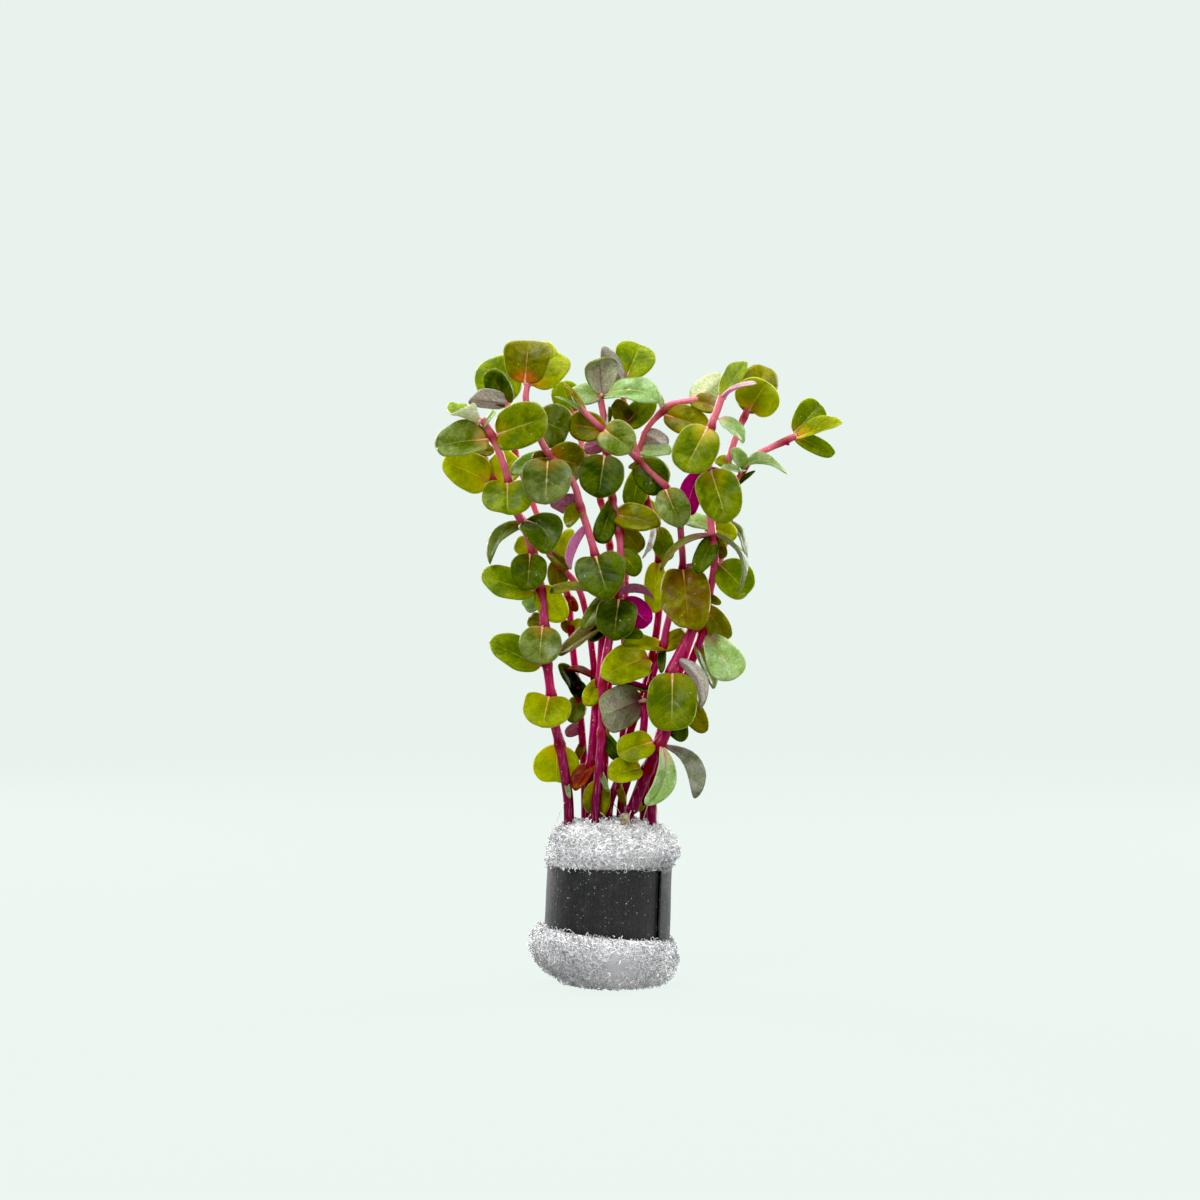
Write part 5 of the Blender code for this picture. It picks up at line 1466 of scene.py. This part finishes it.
def make_foam_tree():
    tree, given, made = geometry_tree(
        "Foam cells", [("Cells per square metre", "NodeSocketFloat"), ("Cell radius", "NodeSocketFloat"),
                       ("Strand radius", "NodeSocketFloat"), ("Seed", "NodeSocketInt"),
                       ("Foam", "NodeSocketMaterial")])
    spread = add_node(tree, "GeometryNodeDistributePointsOnFaces", distribute_method="RANDOM")
    tree.links.new(given["Geometry"], spread.inputs["Mesh"])
    density = calculate(tree, "MULTIPLY", named_value(tree, "open"), given["Cells per square metre"])
    feed(tree, spread.inputs["Density"], density)
    feed(tree, spread.inputs["Seed"], given["Seed"])
    placed = add_node(tree, "GeometryNodeInstanceOnPoints")
    tree.links.new(lifted_points(tree, spread), placed.inputs["Points"])
    tree.links.new(one_strand(tree, given), placed.inputs["Instance"])
    tree.links.new(random_turn(tree, spread), placed.inputs["Rotation"])
    tree.links.new(random_number(tree, *STRAND_SIZES), placed.inputs["Scale"])
    both = add_node(tree, "GeometryNodeJoinGeometry")
    tree.links.new(placed.outputs[0], both.inputs[0])
    tree.links.new(given["Geometry"], both.inputs[0])
    solid = passed(tree, "GeometryNodeRealizeInstances", both.outputs[0])
    solid = passed(tree, "GeometryNodeSetMaterial", solid, Material=given["Foam"])
    tree.links.new(solid, made["Geometry"])
    return tree


FOAM_TREE = make_foam_tree()
foam = grow("open_foam_plug", PLUG_BODY, FOAM_TREE, Cells_per_square_metre=FOAM_CELLS,
            Cell_radius=CELL_RADIUS * MM, Strand_radius=STRAND_RADIUS * MM, Seed=SEED, Foam=OPEN_FOAM)
stands_for(foam, "foam_plug")
print("foam faces:", len(foam.data.polygons))

# %% [markdown]
# The strip is soft metal, cut from a sheet and wrapped by hand: one turn and a little more. It is a grid
# that follows a slow spiral, with shallow dents. Solidify gives it its thickness and Bevel its soft edges.
# An attribute, `wrap`, holds how far along the strip a point lies, because the marks of the sheet run
# across it.

# %% The strip's material
DARK_METAL, BAND_METAL = (0.012, 0.012, 0.013, 1), (0.020, 0.020, 0.021, 1)
WORN_METAL, FLECK_METAL = (0.045, 0.045, 0.047, 1), (0.07, 0.07, 0.072, 1)
METAL_DUST = (0.5, 0.5, 0.5, 1)
BANDS_PER_MM, WORN_PER_METRE, FLECKS_PER_METRE = 1.6, 420.0, 3800.0
DUST_LAYERS = ((700.0, 0.15, 0.12), (1800.0, 0.22, 0.22))


def make_strip_material():
    material = new_material("soft dark metal")
    tree = material.node_tree
    place = object_place(tree)
    wrap = add_node(tree, "ShaderNodeSeparateXYZ")
    feed(tree, wrap.inputs[0], read_attribute(tree, "wrap", "Vector"))
    bands = add_node(tree, "ShaderNodeTexNoise", noise_dimensions="1D")
    feed(tree, bands.inputs["W"], wrap.outputs[0])
    feed(tree, bands.inputs["Scale"], BANDS_PER_MM)
    feed(tree, bands.inputs["Detail"], 6.0)
    feed(tree, bands.inputs["Roughness"], 0.75)
    worn = noise(tree, place, WORN_PER_METRE, 4.0, 0.7)
    skin = blend_colours(tree, ramp(tree, bands.outputs["Fac"], 0.35, 0.7), DARK_METAL, BAND_METAL)
    skin = blend_colours(tree, ramp(tree, worn, 0.48, 0.75, 0.0, 0.5), skin, WORN_METAL)
    fine = noise(tree, place, FLECKS_PER_METRE, 2.0, 0.7)
    skin = blend_colours(tree, ramp(tree, fine, 0.5, 0.75, 0.0, 0.6), skin, FLECK_METAL)
    for cells, size, share in DUST_LAYERS:
        dusted = calculate(tree, "MULTIPLY", lay_grains(tree, cells, size, share), 0.6)
        skin = blend_colours(tree, dusted, skin, METAL_DUST)
    shader = principled(material)
    feed(tree, shader.inputs["Base Color"], skin)
    shader.inputs["Metallic"].default_value = 0.35
    feed(tree, shader.inputs["Roughness"], ramp(tree, worn, 0.3, 0.7, 0.42, 0.62))
    add_relief(material, calculate(tree, "ADD", worn, bands.outputs["Fac"]), 0.15 * MM)
    return material


SOFT_METAL = make_strip_material()
print("material:", SOFT_METAL.name)

# %% The wrapped strip
STRIP_THICK, STRIP_STEP, STRIP_FLARE = 0.5, 0.55, 0.3
STRIP_START, STRIP_OVERLAP = math.radians(-35), math.radians(48)
STRIP_CENTRE = (-0.9, -0.5)
STRIP_STEPS, STRIP_ROWS = 220, 14
STRIP_OFF, STRIP_ROUND = 0.4, 0.14
DENT_DEEP, EDGE_WAVE, DENT_PHASE = 0.07, 0.12, 1.7


def strip_point(along, up):
    """A point of the strip's middle sheet: along from 0 to 1, up from 0 at its foot to 1 at its top."""
    travelled = along * (math.tau + STRIP_OVERLAP)
    angle = STRIP_START + travelled
    over = min(1.0, max(0.0, 2 - travelled / STRIP_OVERLAP))
    across = math.cos(angle)
    radius = STRIP_RADIUS + STRIP_OFF + over * STRIP_STEP + STRIP_FLARE * (1 - up) * (0.4 - 0.6 * across)
    radius += DENT_DEEP * math.sin(5 * angle + 3 * up + DENT_PHASE) * math.sin(math.pi * up)
    top, foot = STRIP_TOP - STRIP_TOP_FALL * across, STRIP_FOOT - STRIP_FOOT_FALL * across
    centre = STRIP_CENTRE[0] + (STRIP_CENTRE[1] - STRIP_CENTRE[0]) * up
    edge = EDGE_WAVE * math.sin(9 * angle + DENT_PHASE)
    return Vector((centre + radius * across, radius * math.sin(angle), foot + (top - foot) * up + edge)) * MM


def make_strip():
    shaped = bmesh.new()
    bmesh.ops.create_grid(shaped, x_segments=STRIP_STEPS, y_segments=STRIP_ROWS, size=0.5)
    wraps = []
    for vertex in shaped.verts:
        along, up = vertex.co.x + 0.5, vertex.co.y + 0.5
        wraps += [along * (math.tau + STRIP_OVERLAP) * STRIP_RADIUS, up, 0.0]
        vertex.co = strip_point(along, up)
    mesh = bpy.data.meshes.new("strip sheet")
    shaped.to_mesh(mesh)
    shaped.free()
    mesh.attributes.new("wrap", "FLOAT_VECTOR", "POINT").data.foreach_set("vector", wraps)
    sheet = put_in_scene("strip sheet", mesh)
    wall = sheet.modifiers.new("wall", "SOLIDIFY")
    wall.thickness, wall.offset = STRIP_THICK * MM, 0.0
    rounded = sheet.modifiers.new("rounded edges", "BEVEL")
    rounded.width, rounded.segments = STRIP_ROUND * MM, 2
    solid = plain_mesh(sheet)
    solid.materials.clear()
    solid.materials.append(SOFT_METAL)
    solid.shade_smooth()
    return put_in_scene("wrapped_strip", solid)


strip = make_strip()
stands_for(strip, "metal_strip")
print("strip faces:", len(strip.data.polygons))

# %% [markdown]
# Beside the shoots stands the short stub of a stem that was cut off, dry and straw-coloured, and a few pale
# root hairs hang from the stems into the foam. Both are tubes along lines.

# %% The cut stub and the root hairs
STUB_PLACE, STUB_RADIUS, STUB_TOP, STUB_LEAN = (2.6, -6.6), 0.9, 34.8, 0.2
HAIR_PLACES = (("left_front", 37, 4), ("centre_front", 36, 3), ("right_front", 37.5, 2),
               ("centre_right", 36.5, 2), ("right_inner", 36, 3))
HAIR_REACH, HAIR_FOOT, HAIR_RADIUS, HAIR_POINTS = (1.5, 3.4), 32.4, 0.1, 9


def make_dry_material(name, colour, dark):
    material = new_material(name)
    tree = material.node_tree
    mottled = noise(tree, object_place(tree), 1800.0, 4.0)
    shader = principled(material)
    skin = blend_colours(tree, ramp(tree, mottled, 0.35, 0.65), dark, colour)
    feed(tree, shader.inputs["Base Color"], skin)
    shader.inputs["Roughness"].default_value = 0.7
    add_relief(material, mottled, 0.1 * MM)
    return material


DRY_STEM = make_dry_material("dry cut stem", (0.36, 0.33, 0.20, 1), (0.10, 0.05, 0.03, 1))
ROOT_SKIN = make_dry_material("root hair", (0.78, 0.74, 0.62, 1), (0.45, 0.38, 0.28, 1))


def grow_stub():
    foot = Vector((*STUB_PLACE, STEM_FOOT))
    top = Vector((STUB_PLACE[0] + STUB_LEAN, STUB_PLACE[1], STUB_TOP))
    line = [foot.lerp(top, share) for share in (0, 0.5, 0.94, 0.98, 1)]
    radii = [STUB_RADIUS * share for share in (1, 1, 1, 0.97, 0.8)]
    mesh = lines_mesh("stub line", [(line, radii, [0.0] * 5, 0.5)])
    return grow("cut_stub", mesh, TUBE_TREE, Sides=12, Skin=DRY_STEM)


def root_hairs():
    """Hairs that leave a stem's foot and droop into the foam."""
    chance = np.random.default_rng(SEED + 5)
    lines = []
    radii = [HAIR_RADIUS * (1 - 0.5 * share) for share in np.linspace(0, 1, HAIR_POINTS)]
    for shoot, height, count in HAIR_PLACES:
        path = stem_path(shoot)
        for _ in range(count):
            start, _ = place_on(path, height + chance.uniform(-1, 2))
            turn = chance.uniform(0, math.tau)
            away = Vector((math.cos(turn), math.sin(turn), 0))
            reach, drop = chance.uniform(*HAIR_REACH), start.z - HAIR_FOOT
            line = [start + away * reach * t - UP * drop * t ** 1.6 for t in np.linspace(0, 1, HAIR_POINTS)]
            lines.append((line, radii, [0.0] * HAIR_POINTS, 0.5))
    return lines


stub = grow_stub()
hair_lines = root_hairs()
hairs = grow("root_hairs", lines_mesh("hair lines", hair_lines), TUBE_TREE, Sides=5, Skin=ROOT_SKIN)
stands_for(stub, "stem_stub")
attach(hairs, "root")
print("root hairs:", len(hair_lines))

# %% [markdown]
# The bunch stands on a plain pale floor in a bright room of light. The floor is one sheet that curves up
# behind into a backdrop, far enough away to show no edge. It glows, so that it is as pale and even as in
# the photo and keeps only a faint shadow. What the bunch gets of that glow is set apart from what the
# camera sees of it.

# %% Floor and backdrop
PALE_MINT = (0.822, 0.905, 0.863, 1)
LENT_COLOUR = (0.88, 0.9, 0.9, 1)
SEEN_GLOW, LENT_GLOW, SKY_GLOW = 0.985, 0.7, 0.3


def make_backdrop_material():
    material = new_material("pale backdrop")
    tree = material.node_tree
    shader = principled(material)
    shader.inputs["Base Color"].default_value = (0.012, 0.012, 0.012, 1)
    shader.inputs["Roughness"].default_value = 1.0
    shader.inputs["Specular IOR Level"].default_value = 0.0
    seen = add_node(tree, "ShaderNodeLightPath").outputs["Is Camera Ray"]
    feed(tree, shader.inputs["Emission Color"], blend_colours(tree, seen, LENT_COLOUR, PALE_MINT))
    feed(tree, shader.inputs["Emission Strength"],
         calculate(tree, "MULTIPLY_ADD", seen, SEEN_GLOW - LENT_GLOW, LENT_GLOW))
    return material


def make_backdrop():
    """A floor that turns up in a quarter circle behind the bunch."""
    wide, deep, bend, high = 3.0, 1.2, 0.8, 2.4
    profile = [(-2.0, 0.0), (deep, 0.0)]
    turns = np.linspace(0, math.pi / 2, 17)[1:]
    profile += [(deep + bend * math.sin(turn), bend * (1 - math.cos(turn))) for turn in turns]
    profile.append((deep + bend, high))
    points = [(side * wide, y, z) for side in (-1, 1) for y, z in profile]
    count = len(profile)
    faces = [(n, n + count, n + count + 1, n + 1) for n in range(count - 1)]
    mesh = bpy.data.meshes.new("backdrop")
    mesh.from_pydata(points, [], faces)
    mesh.materials.append(make_backdrop_material())
    mesh.shade_smooth()
    backdrop = put_in_scene("backdrop", mesh)
    return backdrop


backdrop = make_backdrop()
print("backdrop faces:", len(backdrop.data.polygons))

# %% [markdown]
# The photo is a bright studio picture: soft light from the front and above, and more light from behind that
# shines through the leaves and edges the stems. Large square lamps make soft light, and a pale world fills
# in. The photo's tones are plain and strong, so the view is Standard, and a small black level deepens the
# darks. The black level is in this picture only, because the materials don't carry it.

# %% Lamps and world
def add_lamp(name, place, aim, size, watts, colour=(1, 1, 1)):
    lamp = bpy.data.lights.new(name, "AREA")
    lamp.shape, lamp.size, lamp.energy, lamp.color = "SQUARE", size, watts, colour
    holder = put_in_scene(name, lamp)
    holder.location = place
    holder.rotation_euler = (Vector(aim) - Vector(place)).to_track_quat("-Z", "Y").to_euler()


MIDDLE = (0.0, 0.0, 0.075)
add_lamp("key", (-0.35, -0.6, 0.55), MIDDLE, 0.3, 5.0)
add_lamp("fill", (0.6, -0.5, 0.25), MIDDLE, 0.4, 2.0)
add_lamp("top", (0.0, -0.05, 0.62), MIDDLE, 0.5, 6.0)
add_lamp("back left", (-0.45, 0.45, 0.3), MIDDLE, 0.35, 8.0)
add_lamp("back right", (0.5, 0.4, 0.25), MIDDLE, 0.35, 7.0)
for lamp in bpy.data.lights:
    print("lamp:", lamp.name, lamp.energy, "W")

# %% The world and the picture's tones
BLACK_LEVEL = 0.011


def light_world():
    world = bpy.data.worlds.new("pale room")
    world.use_nodes = True
    sky = world.node_tree.nodes["Background"]
    sky.inputs["Color"].default_value = LENT_COLOUR
    sky.inputs["Strength"].default_value = SKY_GLOW
    bpy.context.scene.world = world


light_world()
view = bpy.context.scene.view_settings
view.view_transform = "Standard"
view.use_curve_mapping = True
view.curve_mapping.black_level = (BLACK_LEVEL, BLACK_LEVEL, BLACK_LEVEL)
view.curve_mapping.update()
print("view:", view.view_transform, "black level", BLACK_LEVEL)

# %% [markdown]
# The camera looks level along +Y from the front, a little above the middle of the bunch, from 0.6 m away.
# Its lens takes in 240 mm at the bunch, so the bunch stands small in the frame as in the photo.

# %% Camera
CAMERA_PLACE = Vector((-2.2, -608.0, 77.0)) * MM
FRAME_WIDE = 240.0 * MM
SENSOR = 36.0

camera = put_in_scene("camera", bpy.data.cameras.new("camera"))
camera.location = CAMERA_PLACE
camera.rotation_euler = (math.pi / 2, 0, 0)
camera.data.sensor_width = SENSOR
camera.data.lens = SENSOR * -CAMERA_PLACE.y / FRAME_WIDE
camera.data.clip_start = 0.01
bpy.context.scene.camera = camera
print(f"lens {camera.data.lens:.1f} mm")
